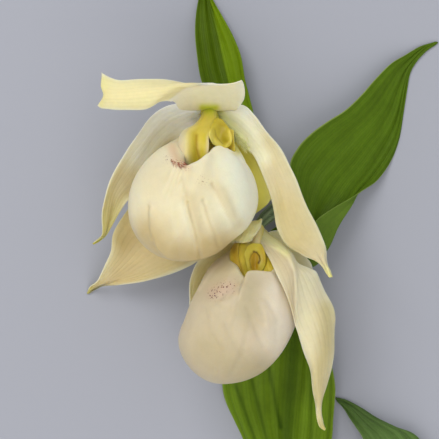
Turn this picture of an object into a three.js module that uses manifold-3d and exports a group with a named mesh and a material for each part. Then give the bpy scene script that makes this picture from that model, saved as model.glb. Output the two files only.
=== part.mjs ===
// A cut flowering stem of a lady's slipper orchid (Cypripedium) with two blooms, lying on its back.
// Millimetres, +Z up. The surface it lies on is z = 0, and the blooms face up.
// +Y runs towards the top of the stem.
//
// Petals, sepals and leaves are thin blades drawn through stations. A station is a row of points
// [x, y, z] from one margin to the other. x and y tell where a point shows when the blooms are looked at
// from EYE_DISTANCE above the plane that runs through them, measured in that plane. z is its height.

import * as THREE from "three";
import { mergeVertices } from "three/addons/utils/BufferGeometryUtils.js";
import Module from "manifold-3d";

const wasm = await Module();
wasm.setup();

// ---------------------------------------------------------------- driving dimensions

const EYE_DISTANCE = 1000; // from the eye down to the plane of the blooms
const BLOOM_PLANE = 45; // height of that plane
const CENTRE = [18.6, -21.4]; // middle of the whole stem's box, in x and y
const PETAL = 0.8; // thickness of petals and sepals
const LEAF = 0.8; // thickness of leaves
const POUCH_WALL = 1.1;
const LOBE = 1.0; // thickness of the pouch's infolded side lobes
const SHIELD = 1.0; // thickness of the column's shield
const KNOB = 3; // radius of an ovary's round end, which carries the parts of its bloom
const BALL_ANGLES = [-48, -20, 8, 36, 62, 80]; // of that end's rings, in degrees above its waist
const TANGENT_STEP = 0.02; // in stations, to each side of where a rod's direction is taken
const WELD = 1e-4; // vertices closer than this are one

const UPPER_KNOB = [-4.4, 43.5, 33];
const LOWER_KNOB = [15.3, -4, 29];

// ---------------------------------------------------------------- points and curves

// Moves a point along the line of sight, so that it shows at its x and y from the eye.
function drawIn([x, y, z]) {
  const scale = 1 - (z - BLOOM_PLANE) / EYE_DISTANCE;
  return new THREE.Vector3(x * scale, y * scale, z);
}

// The point at t, counted in stations, on a smooth curve through points.
function onCurve(points, t, closed = false) {
  const count = points.length;
  const pick = (i) =>
    closed ? points[(i + count) % count] : points[Math.min(Math.max(i, 0), count - 1)];
  const i = closed ? Math.floor(t) : Math.min(Math.floor(t), count - 2);
  const f = t - i;
  const p0 = closed || i > 0 ? pick(i - 1) : pick(0).clone().multiplyScalar(2).sub(pick(1));
  const p3 =
    closed || i + 2 < count
      ? pick(i + 2)
      : pick(count - 1).clone().multiplyScalar(2).sub(pick(count - 2));
  const p1 = pick(i);
  const p2 = pick(i + 1);
  const out = new THREE.Vector3();
  for (const axis of ["x", "y", "z"]) {
    const slope1 = (p2[axis] - p0[axis]) / 2;
    const slope2 = (p3[axis] - p1[axis]) / 2;
    const f2 = f * f;
    const f3 = f2 * f;
    out[axis] =
      p1[axis] * (2 * f3 - 3 * f2 + 1) +
      slope1 * (f3 - 2 * f2 + f) +
      p2[axis] * (3 * f2 - 2 * f3) +
      slope2 * (f3 - f2);
  }
  return out;
}

// ---------------------------------------------------------------- solids

// A closed mesh from vertices and triangles. Nothing reaches below the surface the stem lies on.
function body(vertices, triangles) {
  const geometry = new THREE.BufferGeometry();
  const flat = vertices.flatMap((v) => [v.x, v.y, Math.max(v.z, 0)]);
  geometry.setAttribute("position", new THREE.Float32BufferAttribute(flat, 3));
  geometry.setIndex(triangles);
  return geometry;
}

// A quad split along the same diagonal every time.
function quad(list, a, b, c, d) {
  list.push(a, b, c, a, c, d);
}

// A grid of points and the surface's normal at each, from a function of row and column.
function surfaceGrid(rows, columns, pointAt, closedColumns = false) {
  const points = [];
  for (let i = 0; i <= rows; i++) {
    points.push([]);
    for (let j = 0; j < columns + (closedColumns ? 0 : 1); j++) points[i].push(pointAt(i, j));
  }
  const width = points[0].length;
  const step = (j, by) =>
    closedColumns ? (j + by + width) % width : Math.min(Math.max(j + by, 0), width - 1);
  const normals = points.map((row, i) =>
    row.map((_, j) => {
      const down = points[Math.min(i + 1, rows)][j].clone().sub(points[Math.max(i - 1, 0)][j]);
      const over = points[i][step(j, 1)].clone().sub(points[i][step(j, -1)]);
      return down.cross(over).normalize();
    }),
  );
  return { points, normals };
}

// A blade of even thickness through stations, which run from its base to its tip.
function blade(stations, along, across, thickness) {
  const rows = stations.map((station) => station.map(drawIn));
  const last = rows[0].length - 1;
  const { points, normals } = surfaceGrid(along, across, (i, j) => {
    const t = (i / along) * (rows.length - 1);
    const margins = rows[0].map((_, k) => onCurve(rows.map((row) => row[k]), t));
    return onCurve(margins, (j / across) * last);
  });
  const vertices = [];
  for (const side of [thickness / 2, -thickness / 2])
    points.forEach((row, i) =>
      row.forEach((p, j) => vertices.push(p.clone().addScaledVector(normals[i][j], side))),
    );
  const front = (i, j) => i * (across + 1) + j;
  const back = (i, j) => front(i, j) + (along + 1) * (across + 1);
  const triangles = [];
  for (let i = 0; i < along; i++)
    for (let j = 0; j < across; j++) {
      quad(triangles, front(i, j), front(i + 1, j), front(i + 1, j + 1), front(i, j + 1));
      quad(triangles, back(i, j), back(i, j + 1), back(i + 1, j + 1), back(i + 1, j));
    }
  for (let i = 0; i < along; i++) {
    quad(triangles, front(i, 0), back(i, 0), back(i + 1, 0), front(i + 1, 0));
    quad(triangles, front(i + 1, across), back(i + 1, across), back(i, across), front(i, across));
  }
  for (let j = 0; j < across; j++) {
    quad(triangles, front(0, j + 1), back(0, j + 1), back(0, j), front(0, j));
    quad(triangles, front(along, j), back(along, j), back(along, j + 1), front(along, j + 1));
  }
  return body(vertices, triangles);
}

// Closed rings from one end to the other, joined and capped by a point at each end.
function ringBody(rings, firstEnd, lastEnd) {
  const sides = rings[0].length;
  const vertices = [...rings.flat(), firstEnd, lastEnd];
  const at = (i, j) => i * sides + ((j + sides) % sides);
  const triangles = [];
  for (let i = 0; i + 1 < rings.length; i++)
    for (let j = 0; j < sides; j++)
      quad(triangles, at(i, j), at(i, j + 1), at(i + 1, j + 1), at(i + 1, j));
  for (let j = 0; j < sides; j++) {
    triangles.push(vertices.length - 2, at(0, j + 1), at(0, j));
    triangles.push(vertices.length - 1, at(rings.length - 1, j), at(rings.length - 1, j + 1));
  }
  return body(vertices, triangles);
}

// A round rod through stations [x, y, z, radius].
function rod(stations, steps, sides) {
  const centres = stations.map(drawIn);
  const radii = stations.map((station) => new THREE.Vector3(station[3], 0, 0));
  const span = stations.length - 1;
  let across = new THREE.Vector3(1, 0, 0);
  const rings = [];
  const ends = [];
  for (let i = 0; i <= steps; i++) {
    const t = (i / steps) * span;
    const centre = onCurve(centres, t);
    const ahead = onCurve(centres, Math.min(t + TANGENT_STEP, span));
    const tangent = ahead.sub(onCurve(centres, Math.max(t - TANGENT_STEP, 0))).normalize();
    across = across.clone().addScaledVector(tangent, -across.dot(tangent)).normalize();
    const up = tangent.clone().cross(across);
    const radius = onCurve(radii, t).x;
    rings.push(
      Array.from({ length: sides }, (_, j) => {
        const angle = (2 * Math.PI * j) / sides;
        return centre
          .clone()
          .addScaledVector(across, radius * Math.cos(angle))
          .addScaledVector(up, radius * Math.sin(angle));
      }),
    );
    ends.push(centre);
  }
  return ringBody(rings, ends[0], ends[steps]);
}

// The stations that end a rod in a ball round its last point.
function ballEnd(centre, towards, radius) {
  const direction = new THREE.Vector3(...towards).normalize();
  return BALL_ANGLES.map((degrees) => {
    const angle = THREE.MathUtils.degToRad(degrees);
    const along = radius * Math.sin(angle);
    return [
      centre[0] + direction.x * along,
      centre[1] + direction.y * along,
      centre[2] + direction.z * along,
      radius * Math.cos(angle),
    ];
  });
}

// Joins closed geometries into one.
function joined(...geometries) {
  const [first, ...rest] = geometries.map((geometry) => {
    const merged = mergeVertices(geometry, WELD);
    return new wasm.Manifold(
      new wasm.Mesh({
        numProp: 3,
        vertProperties: merged.attributes.position.array,
        triVerts: new Uint32Array(merged.index.array),
      }),
    );
  });
  const mesh = rest.reduce((sum, solid) => sum.add(solid), first).getMesh();
  const geometry = new THREE.BufferGeometry();
  geometry.setAttribute("position", new THREE.Float32BufferAttribute(mesh.vertProperties, 3));
  geometry.setIndex(new THREE.BufferAttribute(mesh.triVerts, 1));
  return geometry;
}

// ---------------------------------------------------------------- the pouch

// A pouch is a bag round a centre. Its outline is a closed curve of radii, counted from +X towards +Y,
// its depth is a half thickness towards the eye, and its mouth is a closed curve of points.
// The rim rolls in by roll[k] at mouth point k.
const POUCH_SIDES = 28;
const POUCH_RINGS = 11;
const ROUND_UNTIL = 0.62; // share of the way from the bag's pole to its mouth that keeps the round form
const ROLL_STEPS = [
  [0.55, 0.05],
  [0.95, 0.45],
]; // the rim's roll, as shares of its width inwards and into the bag

function pouchBody({ centre, radii, depth, mouth, roll }) {
  const middle = drawIn(centre);
  const outline = radii.map((radius) => new THREE.Vector3(radius, 0, 0));
  const radiusAt = (angle) => {
    const t = (angle / (2 * Math.PI)) * radii.length;
    return onCurve(outline, (t + radii.length) % radii.length, true).x;
  };
  const toUnit = (point) => {
    const v = point.clone().sub(middle);
    const radius = radiusAt(Math.atan2(v.y, v.x));
    return new THREE.Vector3(v.x / radius, v.y / radius, v.z / depth);
  };
  const fromUnit = (v) => {
    const radius = radiusAt(Math.atan2(v.y, v.x));
    return new THREE.Vector3(v.x * radius, v.y * radius, v.z * depth).add(middle);
  };
  const rim = mouth.map(drawIn);
  const rollAmounts = roll.map((amount) => new THREE.Vector3(amount, 0, 0));
  const mouthMiddle = rim.reduce((sum, p) => sum.add(p), new THREE.Vector3()).divideScalar(rim.length);
  const pole = toUnit(mouthMiddle).normalize().negate();

  const rimAt = (j) => onCurve(rim, (j / POUCH_SIDES) * rim.length, true);
  const pointAt = (i, j) => {
    const lip = rimAt(j);
    const lipUnit = toUnit(lip);
    if (i > POUCH_RINGS) {
      const amount = onCurve(rollAmounts, (j / POUCH_SIDES) * rim.length, true).x;
      const inward = mouthMiddle.clone().sub(lip).normalize();
      const down = middle.clone().sub(lip).normalize();
      const [over, under] = ROLL_STEPS[i - POUCH_RINGS - 1];
      return lip.addScaledVector(inward, over * amount).addScaledVector(down, under * amount);
    }
    const t = (i + 1) / (POUCH_RINGS + 1);
    const direction = lipUnit.clone().normalize();
    const angle = Math.acos(THREE.MathUtils.clamp(pole.dot(direction), -1, 1));
    const turned = pole
      .clone()
      .multiplyScalar(Math.sin((1 - t) * angle) / Math.sin(angle))
      .addScaledVector(direction, Math.sin(t * angle) / Math.sin(angle));
    const blend = THREE.MathUtils.smoothstep(t, ROUND_UNTIL, 1);
    return fromUnit(turned.multiplyScalar(1 + (lipUnit.length() - 1) * blend));
  };
  const rows = POUCH_RINGS + ROLL_STEPS.length;
  const { points, normals } = surfaceGrid(rows, POUCH_SIDES, pointAt, true);
  const outer = points.map((row, i) =>
    row.map((p, j) => p.clone().addScaledVector(normals[i][j], -POUCH_WALL / 2)),
  );
  const inner = points.map((row, i) =>
    row.map((p, j) => p.clone().addScaledVector(normals[i][j], POUCH_WALL / 2)),
  );
  const bottom = fromUnit(pole.clone());
  const outwards = bottom.clone().sub(middle).normalize();
  const rings = [...outer, ...inner.reverse()];
  return ringBody(
    rings,
    bottom.clone().addScaledVector(outwards, POUCH_WALL / 2),
    bottom.clone().addScaledVector(outwards, -POUCH_WALL / 2),
  );
}

// ---------------------------------------------------------------- upper bloom

const UPPER_DORSAL_SEPAL = [
  [[-6.9, 46.2, 34.5], [-5.7, 46.7, 34], [-4.4, 46.8, 34], [-3.2, 46.7, 34], [-1.9, 46.2, 34.5]],
  [[-16.2, 47.3, 43], [-11.1, 46.5, 41], [-4.4, 46.2, 40.5], [2.7, 46.4, 41], [9, 46.6, 44]],
  [[-19.1, 49.6, 55], [-13.2, 51, 51], [-4.8, 51.7, 49], [3.6, 51.7, 49.5], [10.7, 51.5, 51]],
  [[-21, 50.6, 63], [-16.6, 54, 62], [-8.2, 56.1, 60], [1.1, 55.9, 58], [8.6, 57.3, 57]],
  [[-24.2, 49.4, 67], [-20.4, 52.7, 68], [-14.1, 56.1, 67], [-6.9, 56.8, 65], [-1.5, 56.9, 63]],
  [[-27.9, 47.4, 69], [-25, 51, 71], [-21.6, 54.4, 71], [-17, 56.9, 69.5], [-12.4, 57.7, 67]],
  [[-32.6, 46, 69], [-30.5, 49.8, 71], [-27.9, 53.6, 71.5], [-25.4, 56.5, 70], [-22.9, 58.8, 67.5]],
  [[-39.7, 46, 68], [-38, 49.4, 70], [-36.3, 52.7, 70.5], [-34.2, 56.1, 69.5], [-32.1, 58.7, 67]],
  [[-46, 46.3, 66.5], [-45.2, 49.4, 68], [-43.9, 52.3, 68.5], [-42.4, 55.2, 68], [-41, 58.2, 66]],
  [[-49.8, 46.6, 65], [-48.5, 49.4, 66], [-47.7, 52.3, 66.5], [-47.3, 56.1, 66], [-46.4, 59.9, 65]],
  [[-51.3, 47.9, 64], [-49.6, 50.2, 65], [-48.7, 52.3, 65.5], [-49.8, 56.1, 65], [-49.1, 60.9, 64]],
];

const UPPER_LEFT_PETAL = [
  [[-8, 45.2, 34], [-8.1, 43.6, 33.4], [-8, 42, 33]],
  [[-17, 48.2, 39.5], [-14.1, 43.9, 36], [-11.6, 38.9, 34.5]],
  [[-24.2, 46.7, 43], [-20.4, 40.5, 37], [-15.8, 33.8, 33.5]],
  [[-29.6, 42, 45], [-25.4, 35.5, 38], [-20.4, 28.4, 33]],
  [[-34.7, 35.3, 46], [-30.2, 29.2, 38], [-25, 22.5, 33]],
  [[-39.5, 28.4, 46], [-35.1, 22.9, 38], [-29.6, 16.6, 33.5]],
  [[-44.1, 20.8, 45], [-39.7, 16.2, 38], [-34.2, 11.1, 33.5]],
  [[-47.7, 12.4, 43], [-43.5, 10.3, 37.5], [-38.6, 8.2, 35]],
  [[-49.2, 4, 41], [-45.6, 3.8, 37], [-41.6, 3.6, 35.5]],
  [[-49.2, -1.9, 39], [-46.9, -1.9, 36], [-44.4, -1.7, 35.5]],
  [[-49, -5.5, 37], [-48.1, -5.8, 35.8], [-47, -5.9, 35.5]],
  [[-51.5, -8.4, 35.5], [-50.6, -8.6, 34.8], [-49.8, -8.7, 34.5]],
  [[-53.4, -10, 34], [-53.2, -10.3, 33.8], [-52.9, -10.6, 33.5]],
];

const UPPER_RIGHT_PETAL = [
  [[-0.8, 41.8, 33.5], [-0.7, 43.5, 34], [-0.9, 45.2, 34.5]],
  [[1.9, 41.2, 36.5], [4.8, 44.1, 37.5], [8.6, 46.7, 40]],
  [[5.5, 37.2, 39], [9.9, 40.7, 40], [14.5, 43.5, 43]],
  [[10.1, 32.1, 41], [14.9, 34.9, 42], [19.7, 37.3, 45]],
  [[13.9, 27.1, 42.5], [19.3, 29.2, 44], [24.8, 31.3, 47]],
  [[17, 21.4, 44], [22.9, 23.1, 46], [28.8, 24.4, 49]],
  [[19.5, 15.3, 45], [25.6, 16.6, 47.5], [31.9, 18.1, 50]],
  [[21.4, 9, 46], [27.9, 9.9, 49], [34.5, 10.7, 51]],
  [[22.9, 2.3, 47], [30, 3.2, 50], [37.4, 4.2, 51.5]],
  [[24.4, -4, 47.5], [32.6, -3.2, 51], [41, -2.5, 52]],
  [[28.1, -10.9, 48], [35.7, -9, 52], [43.7, -8.8, 52]],
  [[33.8, -14.3, 49], [39.5, -13.2, 52], [45, -13, 51.5]],
  [[39.1, -16.6, 50], [42.2, -16.4, 51.5], [45.2, -16.8, 51]],
  [[42.8, -19.5, 50.5], [44.3, -19.4, 51], [45.7, -19.7, 50.5]],
  [[44.7, -22.5, 50.5], [45.8, -22.3, 50.8], [46.8, -22.1, 50.5]],
  [[46, -24.4, 50.5], [46.8, -24.3, 50.6], [47.6, -24.2, 50.5]],
];

const UPPER_SYNSEPAL = [
  [[-7.1, 41.3, 31], [-5.6, 40.6, 30.6], [-4, 40.7, 30.6]],
  [[-12.4, 38, 31], [-3.6, 33.4, 27.5], [7.8, 34.2, 32]],
  [[-20, 30.9, 30], [-4.4, 22.5, 24], [18.7, 24.6, 34]],
  [[-27.5, 20.8, 29], [-8.2, 11.6, 22], [22.1, 16.2, 35]],
  [[-33.4, 12.4, 28.5], [-12.4, 3.6, 20.5], [21.2, 7.8, 33]],
  [[-38, 5, 28], [-17.4, -3.2, 19.5], [12.8, 0.6, 29]],
  [[-42.2, -0.8, 26.5], [-23.3, -8.6, 18], [1.1, -9.5, 25]],
  [[-44.9, -6.7, 24], [-29.2, -13.2, 16], [-9.5, -17.9, 21]],
  [[-45.7, -12.8, 20], [-34.9, -17.9, 13.5], [-20.8, -23.1, 17]],
  [[-48.1, -19.1, 15.5], [-41, -22.3, 10], [-31.3, -26, 12.5]],
  [[-51.2, -24.8, 9.5], [-46.8, -25.8, 6.5], [-41.8, -27.2, 8]],
  [[-54.2, -28.4, 3.5], [-51.9, -28.3, 2.2], [-49.1, -28.1, 2.8]],
  [[-55.9, -31, 0.4], [-55.5, -31.2, 0.4], [-55.1, -31.3, 0.4]],
];

const UPPER_POUCH = {
  centre: [-11.1, 6.9, 53],
  radii: [26.6, 27, 26.8, 25.6, 24.5, 25.8, 25.8, 26.4, 26.8, 27.1, 26.4, 25.1, 23.5, 22.9, 22.3, 24.6],
  depth: 21.5,
  mouth: [
    [-5, 40.1, 34.6],
    [-12.4, 38, 40],
    [-18.3, 35.1, 47.5],
    [-20.6, 31, 54.5],
    [-18.7, 25, 67],
    [-15.3, 21.5, 70.5],
    [-9.9, 23.6, 69],
    [-4.8, 26.9, 65.3],
    [-0.8, 30.3, 56],
    [5.4, 30, 51],
    [2.7, 35.5, 41.5],
  ],
  roll: [0.6, 1.5, 3, 4, 3.6, 2.6, 2.2, 2.2, 2, 0.8, 0.6],
};

const UPPER_LOBE = [
  [[-14.1, 37.2, 40.6], [-12, 38.2, 40], [-8.6, 39.3, 37.5], [-5.7, 40.1, 36]],
  [[-14.9, 38, 45], [-12.4, 40.3, 47], [-9, 41.4, 47.5], [-5.3, 41, 46]],
  [[-16.2, 34.7, 49.5], [-13.2, 35.9, 52], [-9.5, 36.3, 51], [-4.6, 35.9, 52]],
  [[-16, 30.5, 53], [-13.2, 30.5, 56.5], [-9.3, 30.9, 55], [-4.4, 31.1, 56]],
  [[-14.5, 26.7, 54], [-12.2, 26.3, 57], [-8.9, 26.7, 55.5], [-5.3, 27.7, 56]],
  [[-13, 22.5, 52.5], [-11, 22, 54.5], [-8.5, 22.5, 53.5], [-6.3, 23.5, 53.5]],
];

const UPPER_COLUMN = [
  [-4, 43, 36.7, 1.8],
  [-2.7, 41.4, 40, 2.1],
  [-0.8, 38.4, 44, 2.4],
  [0.6, 35.9, 47, 2.5],
  [1.3, 34.2, 49.2, 2.2],
];

const UPPER_SHIELD = [
  [[-1, 37.6, 48.3], [0.2, 37.8, 47.8], [1.2, 37.8, 47.6], [2.2, 37.7, 47.8], [3.1, 37.4, 48.3]],
  [[-2.1, 35.9, 50.8], [-0.5, 36, 49.2], [1.1, 36, 48.8], [2.9, 36, 49.2], [4.6, 35.7, 50.6]],
  [[-2.4, 33.8, 52.2], [-0.7, 33.8, 50.2], [1.2, 33.8, 49.7], [3.1, 33.9, 50.2], [5, 33.8, 52]],
  [[-1.9, 31.6, 51.4], [-0.3, 31.7, 49.8], [1.2, 31.7, 49.3], [2.7, 31.8, 49.8], [4.2, 31.9, 51.2]],
  [[-0.6, 30.3, 49.6], [0.2, 30.2, 49], [0.9, 30.2, 48.8], [1.6, 30.3, 49], [2.3, 30.4, 49.5]],
];

const UPPER_OVARY = [
  [13.87, 24.86, 17, 2.3],
  [8.6, 30.9, 17.5, 2.6],
  [2.7, 37.6, 21.5, 2.6],
  [-2.3, 41.9, 27.6, 2.3],
  ...ballEnd(UPPER_KNOB, [-2.1, 1.6, 5.4], KNOB),
];

// ---------------------------------------------------------------- lower bloom

const LOWER_DORSAL_SEPAL = [
  [[16.8, -1.4, 31.2], [15.5, -1, 31.2], [14.3, -1, 31.2], [13, -1.6, 31.2], [12, -2.3, 31.2]],
  [[17.5, -0.7, 36], [15.3, -1.9, 37], [12.4, -2.1, 37], [8.6, -1.5, 35.5], [4.8, -1.1, 34]],
  [[17.2, -3.3, 39], [14.5, -4, 40], [11.1, -4.4, 39.5], [7.3, -4, 37], [2.7, -3.2, 34.5]],
  [[15.5, -5.8, 41], [13.2, -6.5, 42], [10.1, -6.9, 42], [6.5, -6.7, 39.5], [1.9, -5.7, 35.5]],
  [[14, -8.2, 42], [11.8, -8.8, 43], [8.8, -9, 43], [5.7, -8.8, 41], [1.5, -8, 37]],
  [[13, -9.2, 42], [11.1, -9.7, 43], [8.4, -9.7, 43], [5.3, -9.8, 41], [1.3, -9.5, 38]],
];

const LOWER_LEFT_PETAL = [
  [[12, -3.2, 29.5], [11.8, -4.6, 29], [12.1, -6.1, 28.5]],
  [[7.8, -7.8, 30.5], [9.5, -10.7, 27.5], [11, -13.2, 25]],
  [[1, -10.7, 32], [4.4, -15.8, 27.5], [8.2, -20.4, 23.5]],
  [[-5, -14.1, 33], [-0.6, -20.4, 28], [4.8, -27.1, 22.8]],
  [[-9.3, -17.9, 33.5], [-4.4, -25, 27.5], [1.1, -32.6, 22.3]],
  [[-11.8, -23.3, 33], [-6.9, -30, 27], [-1.5, -37.2, 22]],
  [[-12.8, -29.6, 31.5], [-8.2, -35.5, 26.5], [-3.2, -41.8, 22]],
  [[-12.6, -36.3, 29], [-8.6, -41.4, 24.5], [-4.4, -46.8, 21]],
  [[-11.1, -43.1, 26], [-8, -46.8, 22.5], [-4.6, -51, 20]],
  [[-8.6, -48.9, 23], [-6.7, -51.2, 20.5], [-4.6, -54, 19]],
  [[-5.7, -54.8, 20], [-5.3, -55.2, 19.4], [-4.7, -55.7, 19]],
];

const LOWER_RIGHT_PETAL = [
  [[18.2, -6.7, 28.6], [18.6, -5.7, 29], [18.8, -4.6, 29.5], [18.7, -3.6, 30]],
  [[18.3, -11.1, 42], [20.2, -9.2, 39], [21.2, -7.6, 36.5], [22, -6.7, 35]],
  [[20.6, -16.2, 52], [24.8, -13.7, 48], [26.5, -11.3, 43], [27.3, -10.4, 40]],
  [[23.5, -22.1, 59], [28.8, -17.9, 55], [30, -15.8, 48], [30.6, -15.1, 44]],
  [[26.3, -27.9, 62], [30.7, -22.9, 58], [32.1, -20.2, 51], [33, -18.7, 46]],
  [[28.8, -34.7, 62], [31.2, -29.6, 59], [34.7, -23.7, 53.5], [38.2, -21.1, 47]],
  [[31.1, -41, 59], [32.3, -36.8, 57.5], [37.2, -29.2, 54], [41.2, -22.5, 48]],
  [[32.3, -45.6, 56], [34.2, -43.1, 55.5], [40.1, -35.9, 53], [44.5, -30.5, 47.5]],
  [[33.5, -49.8, 53], [36.3, -48.1, 54], [42.8, -43.1, 52], [47.8, -38.4, 46.5]],
  [[35.1, -54.8, 50], [38.4, -53.6, 52], [44.3, -50, 50], [48.6, -46.4, 45]],
  [[36.8, -60.3, 47.5], [39.7, -59.4, 49.5], [44.7, -56.9, 48], [48.5, -54.2, 43.5]],
  [[38.2, -65.7, 45], [40.5, -65.3, 47], [44.1, -63.4, 45.5], [47.1, -62, 42]],
  [[39.4, -71.2, 42.5], [41, -70.9, 44], [43, -70.4, 43], [44.9, -69.7, 40.5]],
  [[40.1, -76.7, 40], [41.2, -76.4, 41], [42.3, -76.2, 40.8], [43.5, -75.8, 39.5]],
  [[40.5, -82.1, 38], [41.2, -81.9, 38.6], [42.1, -81.7, 38.5], [43.1, -81.5, 37.8]],
  [[41.8, -86.7, 36.5], [42.3, -86.3, 36.8], [42.8, -85.9, 36.8], [43.5, -85.3, 36.5]],
  [[44, -88.7, 35.5], [44.3, -88.5, 35.6], [44.5, -88.3, 35.6], [44.7, -88, 35.5]],
];

const LOWER_SYNSEPAL = [
  [[14.5, -6.3, 26.8], [16.2, -6.6, 26.5], [17.9, -6, 26.8]],
  [[9.9, -12.8, 21.5], [18.3, -13.2, 21], [25.8, -4.8, 28]],
  [[4.8, -20.4, 20], [19.5, -21.2, 19], [33.8, -12.2, 28]],
  [[1.9, -28.8, 18.8], [19.5, -29.6, 17.8], [38.6, -19.3, 27]],
  [[0.6, -37.2, 18.5], [19.1, -37.6, 17], [37.6, -28.8, 25]],
  [[1.1, -45.6, 18], [18.5, -45.6, 16.5], [32.1, -39.3, 22]],
  [[4, -52.7, 17.5], [17.9, -52.7, 16], [27.9, -48.5, 19]],
  [[8.2, -58.2, 17], [17, -58.6, 15.8], [23.3, -56.5, 17]],
  [[12.8, -62, 16.5], [16.4, -62.8, 15.8], [19.1, -61.7, 16.2]],
  [[15.5, -64.5, 16], [16, -64.8, 16], [16.5, -64.7, 16]],
];

const LOWER_POUCH = {
  centre: [6.9, -41.4, 47],
  radii: [25, 26.4, 26.6, 25.1, 24.2, 22.2, 20.1, 20, 21.2, 25.7, 27.9, 28.4, 26.6, 24.8, 23.5, 23.5],
  depth: 21.5,
  mouth: [
    [15.3, -7, 31.8],
    [9.9, -9.9, 37],
    [5.7, -12.8, 43],
    [3.8, -16.6, 49],
    [6.9, -21.2, 59],
    [10.7, -25.4, 63.3],
    [12.6, -22.3, 62.5],
    [17.9, -22.2, 60],
    [23.3, -22.5, 56],
    [25.8, -18.7, 48],
    [22.5, -14, 41],
    [17.2, -10.6, 35.5],
  ],
  roll: [0.6, 1.2, 2.4, 3, 2.4, 1.8, 1.7, 1.8, 2, 2, 1, 0.8],
};

const LOWER_LEFT_LOBE = [
  [[6.5, -12.8, 43], [8.2, -12.4, 41], [10.3, -11.8, 38.5]],
  [[5.3, -12.8, 46], [6.9, -12.2, 47.5], [9, -11.6, 46.5]],
  [[4.6, -15.3, 49.5], [6.7, -14.9, 51.5], [8.8, -14.5, 50.5]],
  [[5.7, -19.5, 51], [7.6, -19.1, 53], [9.7, -18.7, 51.5]],
  [[8.4, -23.5, 50.5], [10.3, -23.1, 52], [11.6, -22, 50.5]],
];

const LOWER_RIGHT_LOBE = [
  [[19.7, -10.3, 36.6], [21, -11.3, 38.2], [22.1, -12.2, 40]],
  [[19.2, -13.4, 43], [20.2, -13.9, 43.5], [21.4, -14.7, 43]],
  [[19.8, -17, 46.5], [21, -17.2, 47.3], [22.5, -18.1, 47]],
  [[19.5, -20.4, 49], [21, -20.8, 50], [22.7, -21.2, 49]],
  [[19.5, -23.7, 48.5], [21, -24.2, 49.5], [22.7, -24.6, 48.5]],
];

const LOWER_COLUMN = [
  [15.8, -4.4, 33.2, 1.6],
  [15.5, -7.4, 35.8, 2],
  [15.2, -10.7, 39.8, 2.2],
  [15.5, -14.1, 44.6, 2.4],
  [15.8, -16.6, 47.2, 2.2],
];

const LOWER_SHIELD = [
  [[14.1, -13.9, 47.2], [15, -13.7, 46.7], [15.8, -13.6, 46.5], [16.6, -13.7, 46.7], [17.4, -13.9, 47.2]],
  [[12.9, -15.3, 49.5], [14.3, -15.3, 48], [15.8, -15.3, 47.5], [17.2, -15.3, 48], [18.4, -15.3, 49.3]],
  [[12.7, -17.4, 50.5], [14.2, -17.4, 48.5], [15.7, -17.4, 48], [17.2, -17.4, 48.5], [18.4, -17.4, 50.2]],
  [[13.2, -19.7, 50.6], [14.4, -19.8, 48.8], [15.8, -19.8, 48.3], [17.1, -19.8, 48.8], [18, -19.7, 50.4]],
  [[14.7, -22.2, 49.6], [15.3, -22.4, 49.2], [15.9, -22.4, 49.1], [16.5, -22.4, 49.2], [17.1, -22.2, 49.6]],
];

const LOWER_OVARY = [
  [26.15, 5.6, 16.25, 2.3],
  [22.9, 3.6, 21.5, 2.9],
  [18.9, 0.3, 25.6, 2.6],
  ...ballEnd(LOWER_KNOB, [-3.4, -4.2, 3.4], KNOB),
];

// ---------------------------------------------------------------- stem and leaves

const STEM = [
  [29.6, -143, 3.6, 3.6],
  [29.6, -126.2, 3.5, 3.5],
  [29.2, -105.2, 3.7, 3.4],
  [29, -84.2, 4.2, 3.3],
  [29.2, -63.2, 5, 3.2],
  [29.6, -46.4, 6.2, 3.1],
  [29.6, -29.6, 8, 3],
  [29.6, -14.9, 10, 2.9],
  [29.2, -2.3, 12, 2.8],
  [27.9, 6.9, 14, 2.8],
  [23.7, 13.7, 16, 2.6],
  [18.3, 20, 17, 2.5],
  [14.1, 24.6, 17, 2.4],
];

const UPPER_BRACT = [
  [[12.8, 22.5, 13.6], [14.5, 21.6, 13.4], [16.4, 22.5, 13.6]],
  [[6.9, 31.3, 13], [12, 30.5, 12], [17, 30, 13.5]],
  [[0.6, 41.8, 12.5], [8, 42.6, 10.5], [14.9, 42.6, 13]],
  [[-4.4, 51, 12], [5.5, 51.5, 9.5], [12.7, 51, 12]],
  [[-7.6, 58.8, 11], [3.4, 59.4, 8.5], [10.8, 58.6, 11]],
  [[-9.4, 67.4, 9.5], [1.3, 67.8, 7], [9.2, 68.5, 9.5]],
  [[-10.3, 75.8, 7], [-0.7, 76, 5], [5.9, 76.7, 7]],
  [[-10, 84.6, 4.5], [-2.9, 84.6, 3], [1.3, 85, 4.5]],
  [[-8.9, 92.2, 2], [-4.8, 92.2, 1.2], [-2.7, 92.2, 2]],
  [[-7.4, 98.1, 0.4], [-6.3, 98.3, 0.4], [-5.5, 97.7, 0.4]],
  [[-6.4, 101.4, 0.4], [-6.1, 101.6, 0.4], [-5.7, 101.4, 0.4]],
];

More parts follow.
